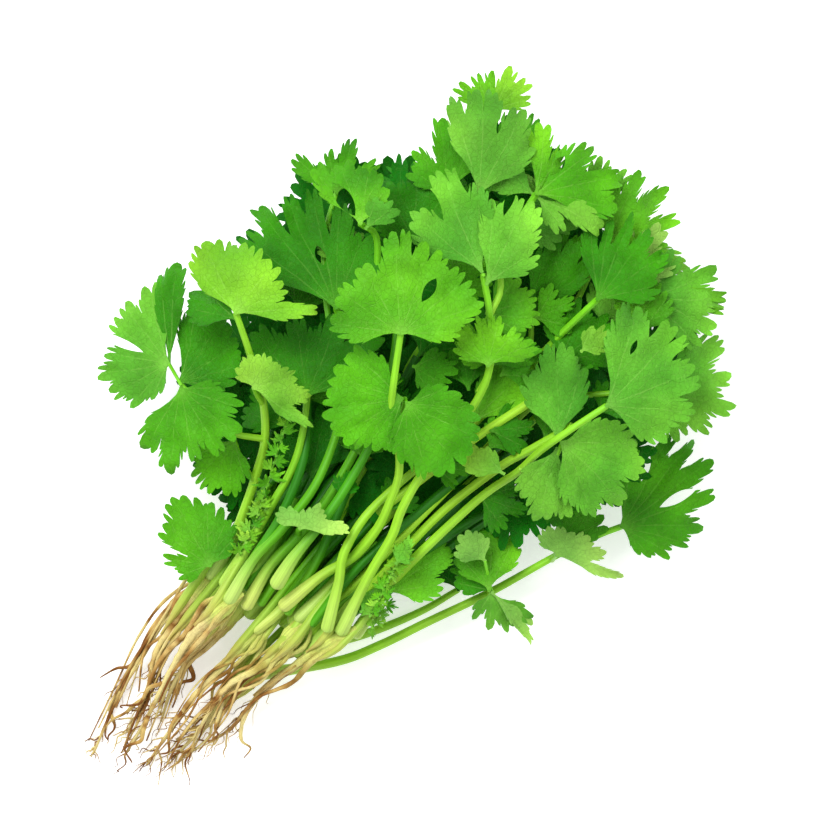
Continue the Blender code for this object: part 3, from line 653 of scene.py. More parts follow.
def side_width(rows, number, step):
    """Half width of a lobe on one side, and the power with which it grows from the base."""
    lobe = rows[number]
    full = lobe.length * math.sin(math.radians(lobe.half_width))
    other = number + step
    if not 0 <= other < len(rows):
        return full * LOOSE_WIDTH, LOOSE_WAIST
    slit = rows[min(number, other)].slit
    off_centre = (slit - LOBE_CENTRE) / (1 - LOBE_CENTRE)
    return full * slit / math.sqrt(1 - off_centre * off_centre), LOBE_WAIST


def lobe_outline(rows, number, blade, bite, chance):
    """One lobe along +X: the points of its outline, and where the middles of its segments are."""
    length = rows[number].length
    (right, right_power), (left, left_power) = (side_width(rows, number, step) for step in (-1, 1))
    centre = LOBE_CENTRE * length

    def oval(angle):
        """A blunt oval at the lobe's end."""
        along, across = max(math.cos(angle), 0.0), math.sin(angle)
        wide = left if across > 0 else right
        return Vector((centre + (length - centre) * along ** LOBE_BLUNT,
                       wide * math.copysign(abs(across) ** LOBE_BLUNT, across)))

    def angle_at(share):
        """Angle on the oval at a share of its edge."""
        target = share * edge[-1]
        for k in range(1, len(edge)):
            if edge[k] >= target:
                part = (target - edge[k - 1]) / (edge[k] - edge[k - 1])
                return angles[k - 1] + (angles[k] - angles[k - 1]) * part
        return angles[-1]

    angles = [math.radians(-90 + 180 / OVAL_STEPS * k) for k in range(OVAL_STEPS + 1)]
    edge = distances([oval(angle) for angle in angles])
    segments = max(1, round(edge[-1] / (SEGMENT_WIDTH * blade.tooth)))
    each = max(1, round(edge[-1] / segments / (TOOTH_WIDTH * blade.tooth)))
    teeth = segments * each
    wander = [(k + chance.uniform(-TOOTH_SHIFT, TOOTH_SHIFT)) / teeth for k in range(1, teeth)]
    ends = [0.0, *wander, 1.0]
    focus = Vector((NOTCH_FOCUS * length, 0))
    points, middles = [], []
    for k in range(teeth):
        across = (2 * (k % each) + 1) / each - 1
        stand = SEGMENT_BULGE * (1 - across * across) * (each > 1)
        stand += chance.uniform(-SEGMENT_WANDER, SEGMENT_WANDER)
        uneven = chance.uniform(*UNEVEN)
        for step in TOOTH_STEPS:
            deep = k % each == 0 if step < 0.5 else k % each == each - 1
            depth = SEGMENT_NOTCH * length if deep and segments > 1 else TOOTH_DEPTH
            off = abs(2 * step - 1)
            spot = oval(angle_at(ends[k] + (ends[k + 1] - ends[k]) * step))
            inward = focus - spot
            most = min(0.4 * inward.length, 0.5 * (left + right))
            notch = min(depth * uneven * bite * blade.tooth ** 0.5, most) * off ** NOTCH_POWER
            if k == 0 and step == 0:
                notch = 0
            points.append(spot + inward.normalized() * (notch - stand * (1 - off)))
        if k % each == each // 2:
            middles.append(oval(angle_at((ends[k] + ends[k + 1]) / 2)))
    rise = [Vector((centre * t, -right * t ** right_power)) for t in LOBE_SIDES]
    fall = [Vector((centre * t, left * t ** left_power)) for t in LOBE_SIDES[::-1]]
    back, side = LOBE_BASE
    base = [Vector((-back, side)), Vector((-back, -side))]
    return base + rise + points + [oval(angles[-1])] + fall, middles


def vein_lines(route, widths):
    """Centre line and the two sides of a vein along the route."""
    across = []
    for number, width in enumerate(widths):
        ahead = heading_at(route, number)
        across.append(Vector((-ahead.y, ahead.x)) * width)
    left = [spot + aside for spot, aside in zip(route, across)]
    right = [spot - aside for spot, aside in zip(route, across)]
    return route, left, right


def divided(line, closed):
    """The line with more points, so that no part of it is longer than the blade's grid."""
    result = []
    for a, b in zip(line, line[1:] + (line[:1] if closed else [])):
        pieces = math.ceil((b - a).length / BLADE_GRID)
        result.extend(a.lerp(b, k / pieces) for k in range(pieces))
    return result if closed else result + line[-1:]


def reach_of(blade):
    """Length of a blade's longest lobe."""
    return max(lobe.length for lobe in blade.lobes)


def blade_plan(blade, chance, veined):
    """The blade laid flat, with shallower notches if deep ones would cross."""
    bite = blade.bite
    for _ in range(BITE_TRIES):
        plan = divided_blade(blade, bite, chance, veined)
        if max(spot.length for spot in plan[0]) < reach_of(blade) * 1.15 + 1:
            return plan
        bite *= BITE_LESS
    raise ValueError(f"blade outline crosses itself: {blade}")


def divided_blade(blade, bite, chance, veined):
    """A flat blade: its points, its triangles, and how much of a vein each point is."""
    points, edges, faces, veins = [], [], [], []

    def add_line(line, value, turn, closed=False):
        """Add a line that is turned by some degrees."""
        turn = Matrix.Rotation(math.radians(turn), 2)
        line = divided([turn @ spot for spot in line], closed)
        first = len(points)
        points.extend(line)
        veins.extend([value] * len(line))
        numbers = list(range(first, len(points)))
        if closed:
            faces.append(numbers)
        else:
            edges.extend(zip(numbers, numbers[1:]))

    def add_vein(route, widths, value, turn):
        """Add a vein that fades to both sides."""
        for line, part in zip(vein_lines(route, widths), (value, 0.0, 0.0)):
            add_line(line, part, turn)

    for number, lobe in enumerate(blade.lobes):
        outline, middles = lobe_outline(blade.lobes, number, blade, bite, chance)
        add_line(outline, 0.0, lobe.direction, closed=True)
        if not veined:
            continue
        midrib = [Vector((lobe.length * share, 0)) for share in MIDRIB_PLACES]
        add_vein(midrib, [mix(*MIDRIB_WIDTHS, share) for share in MIDRIB_FADE], 1.0, lobe.direction)
        for middle in middles:
            if abs(middle.y) < 0.12 * lobe.length:
                continue
            first, last = (lobe.length * share for share in SIDE_VEIN_PLACES)
            leave = min(max(middle.x - SIDE_VEIN_SLANT * abs(middle.y), first), last)
            start, end = Vector((leave, 0)), middle * 0.93
            bow = start.lerp(end, 0.5) + Vector((SIDE_VEIN_BOW * lobe.length, 0))
            add_vein([start.lerp(bow, 0.12), bow, end], [SIDE_VEIN] * 3, 0.7, lobe.direction)
    for a, b in zip(blade.lobes, blade.lobes[1:]):
        reach = a.slit * min(a.length, b.length)
        web = [Vector((0, 0)), direction(a.direction - WEB_OVERLAP).xy * reach,
               direction((a.direction + b.direction) / 2).xy * reach * WEB_DIP,
               direction(b.direction + WEB_OVERLAP).xy * reach]
        add_line(web, 0.0, 0, closed=True)
    blades = len(faces)
    for heading, start, end, width in blade.cuts:
        shares = [k / CUT_STEPS for k in range(CUT_STEPS + 1)]
        half = [width / 2 * math.sin(math.pi * t) ** CUT_BLUNT for t in shares]
        upper = [Vector((mix(start, end, t), side)) for t, side in zip(shares, half)]
        lower = [Vector((mix(start, end, t), -side)) for t, side in zip(shares, half)]
        add_line(lower + upper[-2:0:-1], 0.0, heading, closed=True)
    count = math.ceil(reach_of(blade) / BLADE_GRID)
    for i in range(-count, count + 1):
        for j in range(-count, count + 1):
            points.append(Vector((i + 0.5 * (j % 2) + 0.13, j * 0.87 + 0.07)) * BLADE_GRID)
            veins.append(0.0)
    spots, _, triangles, origins, _, owners = geometry.delaunay_2d_cdt(points, edges, faces, 0, 1e-4)
    triangles = [t for t, owner in zip(triangles, owners) if owner and max(owner) < blades]
    used = sorted({number for triangle in triangles for number in triangle})
    renumber = {old: new for new, old in enumerate(used)}
    shares = [max((veins[k] for k in origins[old]), default=0.4) for old in used]
    return [spots[old] for old in used], [[renumber[k] for k in t] for t in triangles], shares


def fold_height(x, y, blade):
    """Rise towards the sides of the lobe that a point is in."""
    heading = math.degrees(math.atan2(y, x))
    off = min(abs((heading - lobe.direction + 180) % 360 - 180) / lobe.half_width for lobe in blade.lobes)
    return FOLD * math.hypot(x, y) * (0.5 - 0.5 * math.cos(math.pi * min(off, 1.0)))


def blade_height(x, y, blade, seed):
    """How high the blade is above its plane at a point."""
    reach, radius = reach_of(blade), math.hypot(x, y)
    share = radius / reach
    droop = -BLADE_DROOP * blade.droop * radius * radius / reach
    swell = noise.noise(Vector((x * SWELL_SCALE, y * SWELL_SCALE, seed * 3.7))) * SWELL * share
    ruffle = noise.noise(Vector((x * RUFFLE_SCALE, y * RUFFLE_SCALE, seed * 5.1))) * RUFFLE * share
    return droop + fold_height(x, y, blade) * share + swell + ruffle


def blade_tint(x, y, blade, share, lit, seed):
    """Tint of a blade at a point: patches, painted light towards the edge and painted shade towards the
    base, painted light on one side and painted shade on the other, and a pale neck.
    """
    patch = noise.noise(Vector((x * PATCH_SCALE, y * PATCH_SCALE, seed * 7.3)))
    # Painted light on one side of the blade and painted shade on the other
    painted_side = (x * lit.x + y * lit.y) / reach_of(blade)
    # Lightness from painted light at the edge and on one side, painted shade at the base and on the other
    # side, and random patches
    light = PAINTED_EDGE_LIGHT * (share - EDGE_START) + PATCH_LIGHT * patch + PAINTED_SIDE_LIGHT * painted_side
    tone = TONES[blade.tone]
    tint = tuple(min(1.0, max(0.0, c * (1 + light * part))) for c, part in zip(tone, TONE_SWING))
    # Darker tones, which carry painted shade, get less of the pale neck
    pale = 0.9 * (tone[1] - BLADE_NECK_LEVEL) * (1 - ease(share / BLADE_NECK_REACH))
    return mix(tint, BLADE_NECK, pale)


def add_blade(piece, blade, place, seed, veined=True):
    """Add one thin closed blade to the piece. The place is its frame in layout millimetres."""
    chance = random.Random(seed)
    spots, triangles, veins = blade_plan(blade, chance, veined)
    # Painted light: the side of each blade that gets lighter, in a random direction
    lit = direction(chance.uniform(0, 360))
    sheets = []
    for side in (1, -1):
        sheet = []
        for spot, vein in zip(spots, veins):
            x, y = spot
            drift = noise.noise_vector(Vector((x * WARP_SCALE, y * WARP_SCALE, seed * 1.9))) * WARP
            share = min(1.0, spot.length / reach_of(blade))
            height = blade_height(x, y, blade, seed) + side * BLADE_THICKNESS / 2
            flat = Vector((x + drift.x * share, y + drift.y * share, 0))
            where = place @ (flat + up(height))
            where.z = max(where.z, FLOOR_LEVEL + LEAF_CLEARANCE + BLADE_THICKNESS * (side > 0))
            sheet.append(piece.vertex(where, blade_tint(x, y, blade, share, lit, seed),
                                      (x, y, seed * 40), vein * (1.1 - 0.5 * share), float(side < 0)))
        sheets.append(sheet)
    top, bottom = sheets
    once = {}
    for a, b, c in triangles:
        piece.faces.append((top[a], top[b], top[c]))
        piece.faces.append((bottom[c], bottom[b], bottom[a]))
        for edge in ((a, b), (b, c), (c, a)):
            once[edge] = edge[::-1] not in once
            if not once[edge]:
                once[edge[::-1]] = False
    for (a, b), rim in once.items():
        if rim:
            piece.faces.append((top[b], top[a], bottom[a], bottom[b]))


def tilt(dip):
    """A turn that lowers what lies towards a direction: (direction, degrees)."""
    towards, angle = dip
    return Matrix.Rotation(math.radians(angle), 4, direction(towards + 90))


def blade_frame(leaf_place, blade):
    """Frame of one blade of a leaf."""
    return leaf_place @ Matrix.Translation(Vector(blade.at)) @ tilt(blade.dip)


# Stalks and the leaves on them

def add_tube(piece, route, radii, tints, sides, ridges=0, rough=0.0, seed=0):
    """Add a round, closed tube along the route. Its flat coordinates run round and along it."""
    lengths = distances(route)
    turned = up(1)
    rings = []
    for number, (place, radius, tint) in enumerate(zip(route, radii, tints)):
        ahead = heading_at(route, number)
        turned = (turned - ahead * turned.dot(ahead)).normalized()
        across = ahead.cross(turned)
        ring = []
        for side in range(sides):
            angle = 2 * math.pi * side / sides
            out = turned * math.cos(angle) + across * math.sin(angle)
            grown = radius * (1 + RIDGE_HEIGHT * math.cos(ridges * angle) * (ridges > 0))
            if rough:
                spot = (place + out * radius) * 0.45
                grown *= 1 + rough * (noise.noise(spot + up(seed)) + 0.5 * noise.noise(spot * 3.1))
            flat = (3 * math.cos(angle), 3 * math.sin(angle), lengths[number])
            ring.append(piece.vertex(place + out * grown, tint, flat, 0.5 + 0.5 * math.cos(ridges * angle)))
        rings.append(ring)
    for a, b in zip(rings, rings[1:]):
        for i in range(sides):
            j = (i + 1) % sides
            piece.faces.append((a[i], a[j], b[j], b[i]))
    for end, order in ((0, -1), (-1, 1)):
        cap = piece.vertex(route[end], tints[end], (0, 0, lengths[end]))
        ring = rings[end]
        for i in range(sides):
            piece.faces.append((cap, *(ring[i], ring[(i + 1) % sides])[::order]))


def rounded(route, radii, tints):
    """Close the start of a tube with a round nose."""
    back = (route[1] - route[0]).normalized() * radii[0]
    places = [route[0] - back * share for share, _ in NOSE]
    return places + route, [radii[0] * wide for _, wide in NOSE] + radii, [tints[0]] * len(NOSE) + tints


def add_petiole(piece, start, end, tint, radius=THIN_STALK_RADIUS):
    """A short thin stalk between two points, a little bowed."""
    middle = start.lerp(end, 0.5) + up(-0.15 * (end - start).length)
    route = smooth_route([start, middle, end], 1.0)
    add_tube(piece, route, [radius] * len(route), [tint] * len(route), PETIOLE_SIDES)


def make_leaf(name, stalk_end, stem, number):
    """The visible blades of one CAD leaf, and the short stalks that hold them."""
    leaf = LEAVES[name]
    place = Matrix.Translation(Vector(stalk_end) + up(BLADE_RISE)) @ tilt(leaf.dip)
    piece = Piece()
    for order, blade in enumerate(leaf.blades):
        frame_of_blade = blade_frame(place, blade)
        add_blade(piece, blade, frame_of_blade, number * 7 + order)
        if Vector(blade.at).length > LONG_JOINT:
            add_petiole(stem, Vector(stalk_end), frame_of_blade.translation, STEM_TOP)
    # The lit, middle or shaded copy of the leaf skin
    slot = "leaf_bright" if name in BRIGHT_LEAVES else "leaf_dark" if name in DARK_LEAVES else "leaf_mid"
    piece.finish(f"leaf_{name}_blades", slot, [f"leaf_{name}"])


def stalk_tints(lengths, light, base):
    """Pale at the base, then the stalk's middle colour, which may carry painted shade, then greener towards
    the leaf.
    """
    return [mix(mix(base, light, ease(length / 26)), STEM_TOP, ease((length - 60) / 80))
            for length in lengths]


def with_leaf_end(route, radii, tints):
    """The stalk with a thin end that reaches up into its leaf."""
    return route + [route[-1] + up(BLADE_RISE)], radii + [THIN_STALK_RADIUS], tints + tints[-1:]


def make_stalk(stalk, number):
    """One leaf stalk with its forks, and the leaves on it."""
    chance = random.Random(number)
    stem = Piece()
    route = smooth_route(stalk.route, STALK_STEP)
    lengths = distances(route)
    swelling = random.Random(number * 3).uniform(0.8, 1.0)
    radii = []
    for length in lengths:
        body = mix(STALK_BASE_RADIUS * swelling, STALK_RADIUS, ease(length / STALK_BASE_LENGTH))
        radii.append(body + (STALK_END_RADIUS - STALK_RADIUS) * length / lengths[-1])
    # Painted shade: stalks that lie deep in the bunch are darkened towards STEM_SHADE
    light = mix(STEM_LIGHT, STEM_SHADE, STALK_PAINTED_SHADE.get(stalk.name, PLAIN_PAINTED_SHADE))
    base = mix(STEM_BASE, STEM_LIGHT, chance.uniform(0.0, 0.5))
    if chance.random() < PALE_BASES:
        base = mix(base, NECK_TINT, 0.8)
    tube = with_leaf_end(*rounded(route, radii, stalk_tints(lengths, light, base)))
    add_tube(stem, *tube, STALK_SIDES, RIDGES)
    for fork in stalk.forks:
        path = smooth_route(fork.route, STALK_STEP)
        count = len(path)
        thin = [mix(FORK_RADIUS, FORK_END_RADIUS, i / (count - 1)) for i in range(count)]
        greens = [mix(light, STEM_TOP, i / (count + 1)) for i in range(count + 1)]
        path, thin, _ = with_leaf_end(path, thin, greens)
        add_tube(stem, path, thin, greens, FORK_SIDES, RIDGES)
    make_leaf(stalk.leaf, stalk.route[-1], stem, number * 3)
    for order, fork in enumerate(stalk.forks, 1):
        make_leaf(fork.leaf, fork.route[-1], stem, number * 3 + order * 101)
    stem.finish(f"stalk_{stalk.name}_stem", "stalk", [f"stalk_{stalk.name}"])


# Roots

def root_tints(lengths, start, seed, green=0):
    """Cream to tan along a root, with brown patches and a green start of some length.

    The start is 0 for a cream root, 1 for a brown one.
    """
    tints = []
    for length in lengths:
        share = start + 0.3 * length / lengths[-1]
        patch = noise.noise(Vector((length * 0.11, seed * 2.3, 0)))
        patch += 0.4 * noise.noise(Vector((length * 0.5, seed * 1.1, 9)))
        tone = mix(ROOT_CREAM, ROOT_TAN, ease(share + 0.6 * patch))
        tone = mix(tone, ROOT_BROWN, ease(1.3 * share + 1.5 * patch - 0.45))
        tints.append(mix(NECK_TINT, tone, ease(length / green)) if green else tone)
    return tints


def add_root_tube(piece, route, radii, tints, sides, seed):
    """A rough tube with a round start that stays above the surface."""
    for place, radius in zip(route, radii):
        place.z = max(place.z, FLOOR_LEVEL + ROOT_CLEARANCE * radius)
    add_tube(piece, *rounded(route, radii, tints), sides, rough=ROOT_ROUGHNESS, seed=seed)


def add_strand(piece, crown, route, chance, seed, green):
    """A thinner root that runs crookedly beside the tap root."""
    aside = Vector((0, chance.uniform(-4.5, 4.5), chance.uniform(-2.5, 2.0)))
    stop = chance.uniform(0.55, 1.0)
    points = [crown + aside * 0.2]
    for share in STRAND_SHARES:
        spot = place_on(route, share * stop) + aside * chance.uniform(0.5, 1.2)
        spot += Vector((0, chance.gauss(0, 0.9), chance.gauss(0, 0.6)))
        spot.z = max(spot.z, FLOOR_GAP)
        points.append(spot)
    path = smooth_route(points, STRAND_STEP)
    last = len(path) - 1
    wide = chance.uniform(0.6, 1.45)
    radii = [wide * (1 - 0.8 * (i / last) ** 0.8) * mix(STRAND_START, 1, ease(5 * i / last))
             for i in range(last + 1)]
    tints = root_tints(distances(path), chance.uniform(0.0, 0.7), seed, green + 10)
    add_root_tube(piece, path, radii, tints, STRAND_SIDES, seed)


def add_root_branch(piece, start, end, radius, chance, seed):
    """A crooked thin root from start to end."""
    span = end - start
    points = [start]
    for part in KINKS:
        kink = Vector((chance.gauss(0, 1), chance.gauss(0, 1), chance.gauss(0, 0.4)))
        spot = start + span * part + kink * span.length * KINK_SIZE
        spot.z = max(spot.z, FLOOR_GAP)
        points.append(spot)
    route = smooth_route([*points, end], BRANCH_STEP)
    last = len(route) - 1
    radii = [radius * (1 - 0.75 * i / last) for i in range(last + 1)]
    tints = root_tints(distances(route), chance.uniform(0.1, 0.9), chance.uniform(0, 90))
    add_root_tube(piece, route, radii, tints, BRANCH_SIDES, seed)


def make_root(root, number):
    """One tap root that starts under its stalks, with strands along it, side roots and rootlets."""
    chance = random.Random(300 + number)
    piece = Piece()
    route = smooth_route(root.route, ROOT_STEP)
    lengths = distances(route)
    tints = root_tints(lengths, chance.uniform(0.0, 0.25), number, root.green)
    radii = []
    for length in lengths:
        body = mix(TAP_ROOT_RADIUS, ROOT_TIP_RADIUS, (length / lengths[-1]) ** 0.75)
        radii.append(body + (CROWN_RADIUS - TAP_ROOT_RADIUS) * (1 - ease(length / CROWN_LENGTH)))
    back = (route[0] - route[3]).normalized()
    neck = [route[0] + back * reach + up(-NECK_FALL * reach) for reach in NECK_STEPS]
    narrow = [CROWN_RADIUS * share for share in NECK_RADII]
    green = [mix(NECK_TINT, tints[0], k / len(neck)) for k in range(len(neck))]
    add_root_tube(piece, neck + route, narrow + radii, green + tints, ROOT_SIDES, number)
    for strand in range(STRANDS):
        add_strand(piece, neck[0], route, chance, number * 20 + strand, root.green)
    for share, heading in root.side_roots:
        start = place_on(route, share)
        end = start + direction(heading) * SIDE_ROOT_LENGTH
        end.z = max(min(start.z * 0.6, start.z - 0.5), FLOOR_GAP)
        add_root_branch(piece, start, end, SIDE_ROOT_RADIUS, chance, number)
    for _ in range(ROOTLETS):
        start = place_on(route, chance.uniform(0.5, 1.0))
        out = direction(ROOTLET_HEADING + chance.gauss(0, ROOTLET_SPREAD)) * chance.uniform(4, 12)
        end = start + out + up(-chance.uniform(0.1, 0.8) * out.length)
        end.z = max(end.z, FLOOR_GAP)
        end.x = max(end.x, ROOT_LIMIT_X)
        add_root_branch(piece, start, end, chance.uniform(0.14, 0.4), chance, number)
    piece.finish(f"root_{number}_rootstock", "root", [f"root_{number}"])


# Leaves and stalks that the CAD model leaves out

def add_lone_blade(piece, blade, hub, seed, veined=True):
    """A blade on its own, with its hub at a place."""
    add_blade(piece, blade, blade_frame(Matrix.Translation(Vector(hub)), blade), seed, veined)


def small_fan(tone, facing, size, spread, middle, sides, slit, **form):
    """A small blade with three lobes, spread some degrees apart."""
    return blade(tone, (facing - spread, size * sides[0], sides[1]), (facing, size, middle),
                 (facing + spread, size * sides[0], sides[1]), slit=slit, **form)


def make_inner_leaves():
    """Round leaves that only fill the inside of the bunch, a few to a piece, dark with painted shade."""
    for first in range(0, len(INNER_LEAVES), LEAVES_TOGETHER):
        piece = Piece()
        for number, (hub, reach) in enumerate(INNER_LEAVES[first:first + LEAVES_TOGETHER], first + 1):
            chance = random.Random(500 + number)
            turn, apart = chance.uniform(0, 45), 360 / INNER_LOBES
            rows = [(turn + apart * k, reach * chance.uniform(0.85, 1.1), 22) for k in range(INNER_LOBES)]
            dip = chance.uniform(0, 360), chance.uniform(2, 10)
            # The inner tone is painted deep shade
            leaf = blade("inner", *rows, slit=0.75, dip=dip, tooth=1.3, bite=1.4)
            add_lone_blade(piece, leaf, hub, 900 + number, veined=False)
        piece.finish(f"inner_leaves_{first // LEAVES_TOGETHER + 1}", "leaf_dark")


def make_extra_leaves():
    """Leaves that show between those of the CAD model."""
    for number, (name, (hub, leaf)) in enumerate(EXTRA_LEAVES.items(), 1):
        piece = Piece()
        place = Matrix.Translation(Vector(hub)) @ tilt(leaf.dip)
        for order, part in enumerate(leaf.blades):
            add_blade(piece, part, blade_frame(place, part), 700 + number * 3 + order)
        # The lit copy of the leaf skin for light tones, the shaded copy for the rest
        bright = leaf.blades[0].tone in ("bright", "pale", "yellow", "lime")
        piece.finish(f"extra_{name}_blades", "leaf_bright" if bright else "leaf_dark")


def make_sprigs():
    """Small leaves spread evenly over the head."""
    chance = random.Random(41)
    pieces = [Piece() for _ in range(SPRIG_PIECES)]
    for number in range(SPRIGS):
        out = math.sqrt((number + 0.5) / SPRIGS)
        x = HEAD_MIDDLE[0] + HEAD_REACH[0] * out * math.cos(number * GOLDEN_ANGLE)
        y = HEAD_MIDDLE[1] + HEAD_REACH[1] * out * math.sin(number * GOLDEN_ANGLE)
        facing = math.degrees(math.atan2(y, x - ROOT_SIDE_X)) + chance.uniform(-50, 50)
        size = chance.uniform(10, 15)
        tone = chance.choice(SPRIG_TONES)
        leaf = small_fan(tone, facing, size, 34, 14, (0.85, 15), 0.7,
                         dip=(facing, chance.uniform(-4, 22)), tooth=0.85, bite=1.1)
        hub = (x, y, mix(SPRIG_TOP, SPRIG_EDGE, out * out))
        add_lone_blade(pieces[number * SPRIG_PIECES // SPRIGS], leaf, hub, 1200 + number)
    for number, piece in enumerate(pieces, 1):
        piece.finish(f"sprigs_{number}", "leaf_mid")


def make_frills():
    """Rows of tiny leaves, each row on its own thin stalk."""
    piece = Piece()
    chance = random.Random(63)
    for row, (start, end, count) in enumerate(FRINGES):
        start, end = Vector(start), Vector(end)
        along = math.degrees(math.atan2(start.y - end.y, start.x - end.x))
        add_petiole(piece, start, end, STEM_TOP, 0.3)
        for k in range(count):
            hub = start.lerp(end, (k + 0.5) / count) + up(0.6)
            facing = along + (-1) ** k * chance.uniform(35, 75)
            size = FRINGE_SIZE * chance.uniform(0.7, 1.25)
            tone = chance.choice(FRINGE_TONES)
            leaf = small_fan(tone, facing, size, 30, 13, (0.8, 14), 0.6,
                             dip=(facing, chance.uniform(-20, 30)), tooth=0.35, bite=0.7)
            add_lone_blade(piece, leaf, hub, 1500 + row * 40 + k, veined=False)
    piece.finish("stalk_frills", "leaf_bright")


def add_inner_stalks(piece, chance):
    """Thin stalks that darken with painted shade as they run into the inside of the bunch."""
    low = []
    for k in range(LOW_STALKS):
        side = LOW_STALK_FIRST + LOW_STALK_STEP * k
        low.append([(-70 + chance.uniform(-4, 4), side * 0.9, 17 + chance.uniform(-4, 6)),
                    (-52, side + chance.uniform(-2, 2), 21 + chance.uniform(-4, 6)),
                    (-28, side * 1.25 + chance.uniform(-3, 3), 24 + chance.uniform(-4, 4)),
                    (0, side * 1.7 + chance.uniform(-4, 4), 24 + chance.uniform(-3, 3))])
    for points in INNER_STALKS + low:
        path = smooth_route(points, STALK_STEP)
        # Each stalk gets some painted shade at random, and more towards the inside of the bunch
        near = mix(STEM_SHADE, STEM_LIGHT, chance.uniform(0.1, 0.7))
        green = [mix(near, STEM_PAINTED_DEEP_SHADE, ease((place.x + 66) / 26)) for place in path]
        tube = rounded(path, [INNER_STALK_RADIUS] * len(path), green)
        add_tube(piece, *tube, STALK_SIDES, RIDGES)


def add_sheaths(piece, chance):
    """Short thick stalk bases over the crowns of the roots, darker with painted shade towards their ends
    under the bunch.
    """
    for k in range(SHEATHS):
        side = mix(*SHEATH_SIDES, k / (SHEATHS - 1))
        start = Vector((-73 + chance.uniform(-5, 6), side * 0.9, 12 + chance.uniform(-2, 9)))
        middle = Vector((16, chance.uniform(-2, 2) + side * 0.1, chance.uniform(3, 7)))
        end = Vector((32, chance.uniform(-3, 3) + side * 0.2, chance.uniform(4, 9)))
        path = smooth_route([start, start + middle, start + end], STALK_STEP)
        along = distances(path)
        wide = [mix(chance.uniform(2.2, 2.7), 1.2, ease(length / 20)) for length in along]
        pale = mix(STEM_BASE, STEM_LIGHT, chance.uniform(0.0, 0.9))
        # Painted shade towards the end, under the bunch
        green = [mix(pale, mix(STEM_PAINTED_DEEP_SHADE, STEM_LIGHT, 0.35), ease(length / 24)) for length in along]
        add_tube(piece, *rounded(path, wide, green), STALK_SIDES, RIDGES)


def add_feet(piece, chance, root):
    """Stalks that start brown among a root's strands and darken with painted shade as they run into the
    bunch.
    """
    route = smooth_route(root.route, ROOT_STEP)
    for _ in range(FEET):
        aside = Vector((0, chance.uniform(-4, 4), chance.uniform(0.0, 2.4)))
        foot = place_on(route, chance.uniform(0.12, 0.4)) + aside * 0.6
        level, side = route[0].z, route[0].y
        ahead = Vector((15, side * 0.02 + chance.uniform(-2, 2), chance.uniform(2, 5) - 0.16 * level))
        crown = route[0] + aside
        far = crown + Vector((FOOT_REACH, 2.4 * ahead.y, max(-4, FOOT_HEIGHT - level)))
        path = smooth_route([foot, crown, crown + ahead, crown + ahead * 2, far], STALK_STEP)
        along = distances(path)
        thick = chance.uniform(0.9, 1.5)
        wide = [thick * mix(0.25, 1.0, ease(length / 12)) * mix(0.2, 1.0, ease((along[-1] - length) / 14))
                for length in along]
        brown = mix(FOOT_TINT, NECK_TINT, chance.uniform(0.0, 0.8))
        # A random share of painted shade, then brown to green along the stalk, and darker with painted
        # shade inside the bunch
        last = mix(STEM_SHADE, STEM_LIGHT, chance.uniform(0.2, 0.8))
        green = [mix(mix(mix(brown, FOOT_GREEN, ease(length / 20)), last, ease((length - 20) / 20)),
                     STEM_PAINTED_DEEP_SHADE, ease((place.x + 62) / 24)) for place, length in zip(path, along)]
        add_tube(piece, *rounded(path, wide, green), STALK_SIDES, RIDGES)


def make_inner_stalks():
    """All stalks without a leaf of their own, in one piece."""
    piece = Piece()
    chance = random.Random(77)
    add_inner_stalks(piece, chance)
    add_sheaths(piece, chance)
    for root in ROOTS:
        add_feet(piece, chance, root)
    for points in LIT_STALKS:
        path = smooth_route(points, STALK_STEP)
        tints = stalk_tints(distances(path), STEM_LIGHT, STEM_LIGHT)
        add_tube(piece, path, [LIT_STALK_RADIUS] * len(path), tints, STALK_SIDES, RIDGES)
    piece.finish("inner_stalks", "stalk")


# Materials

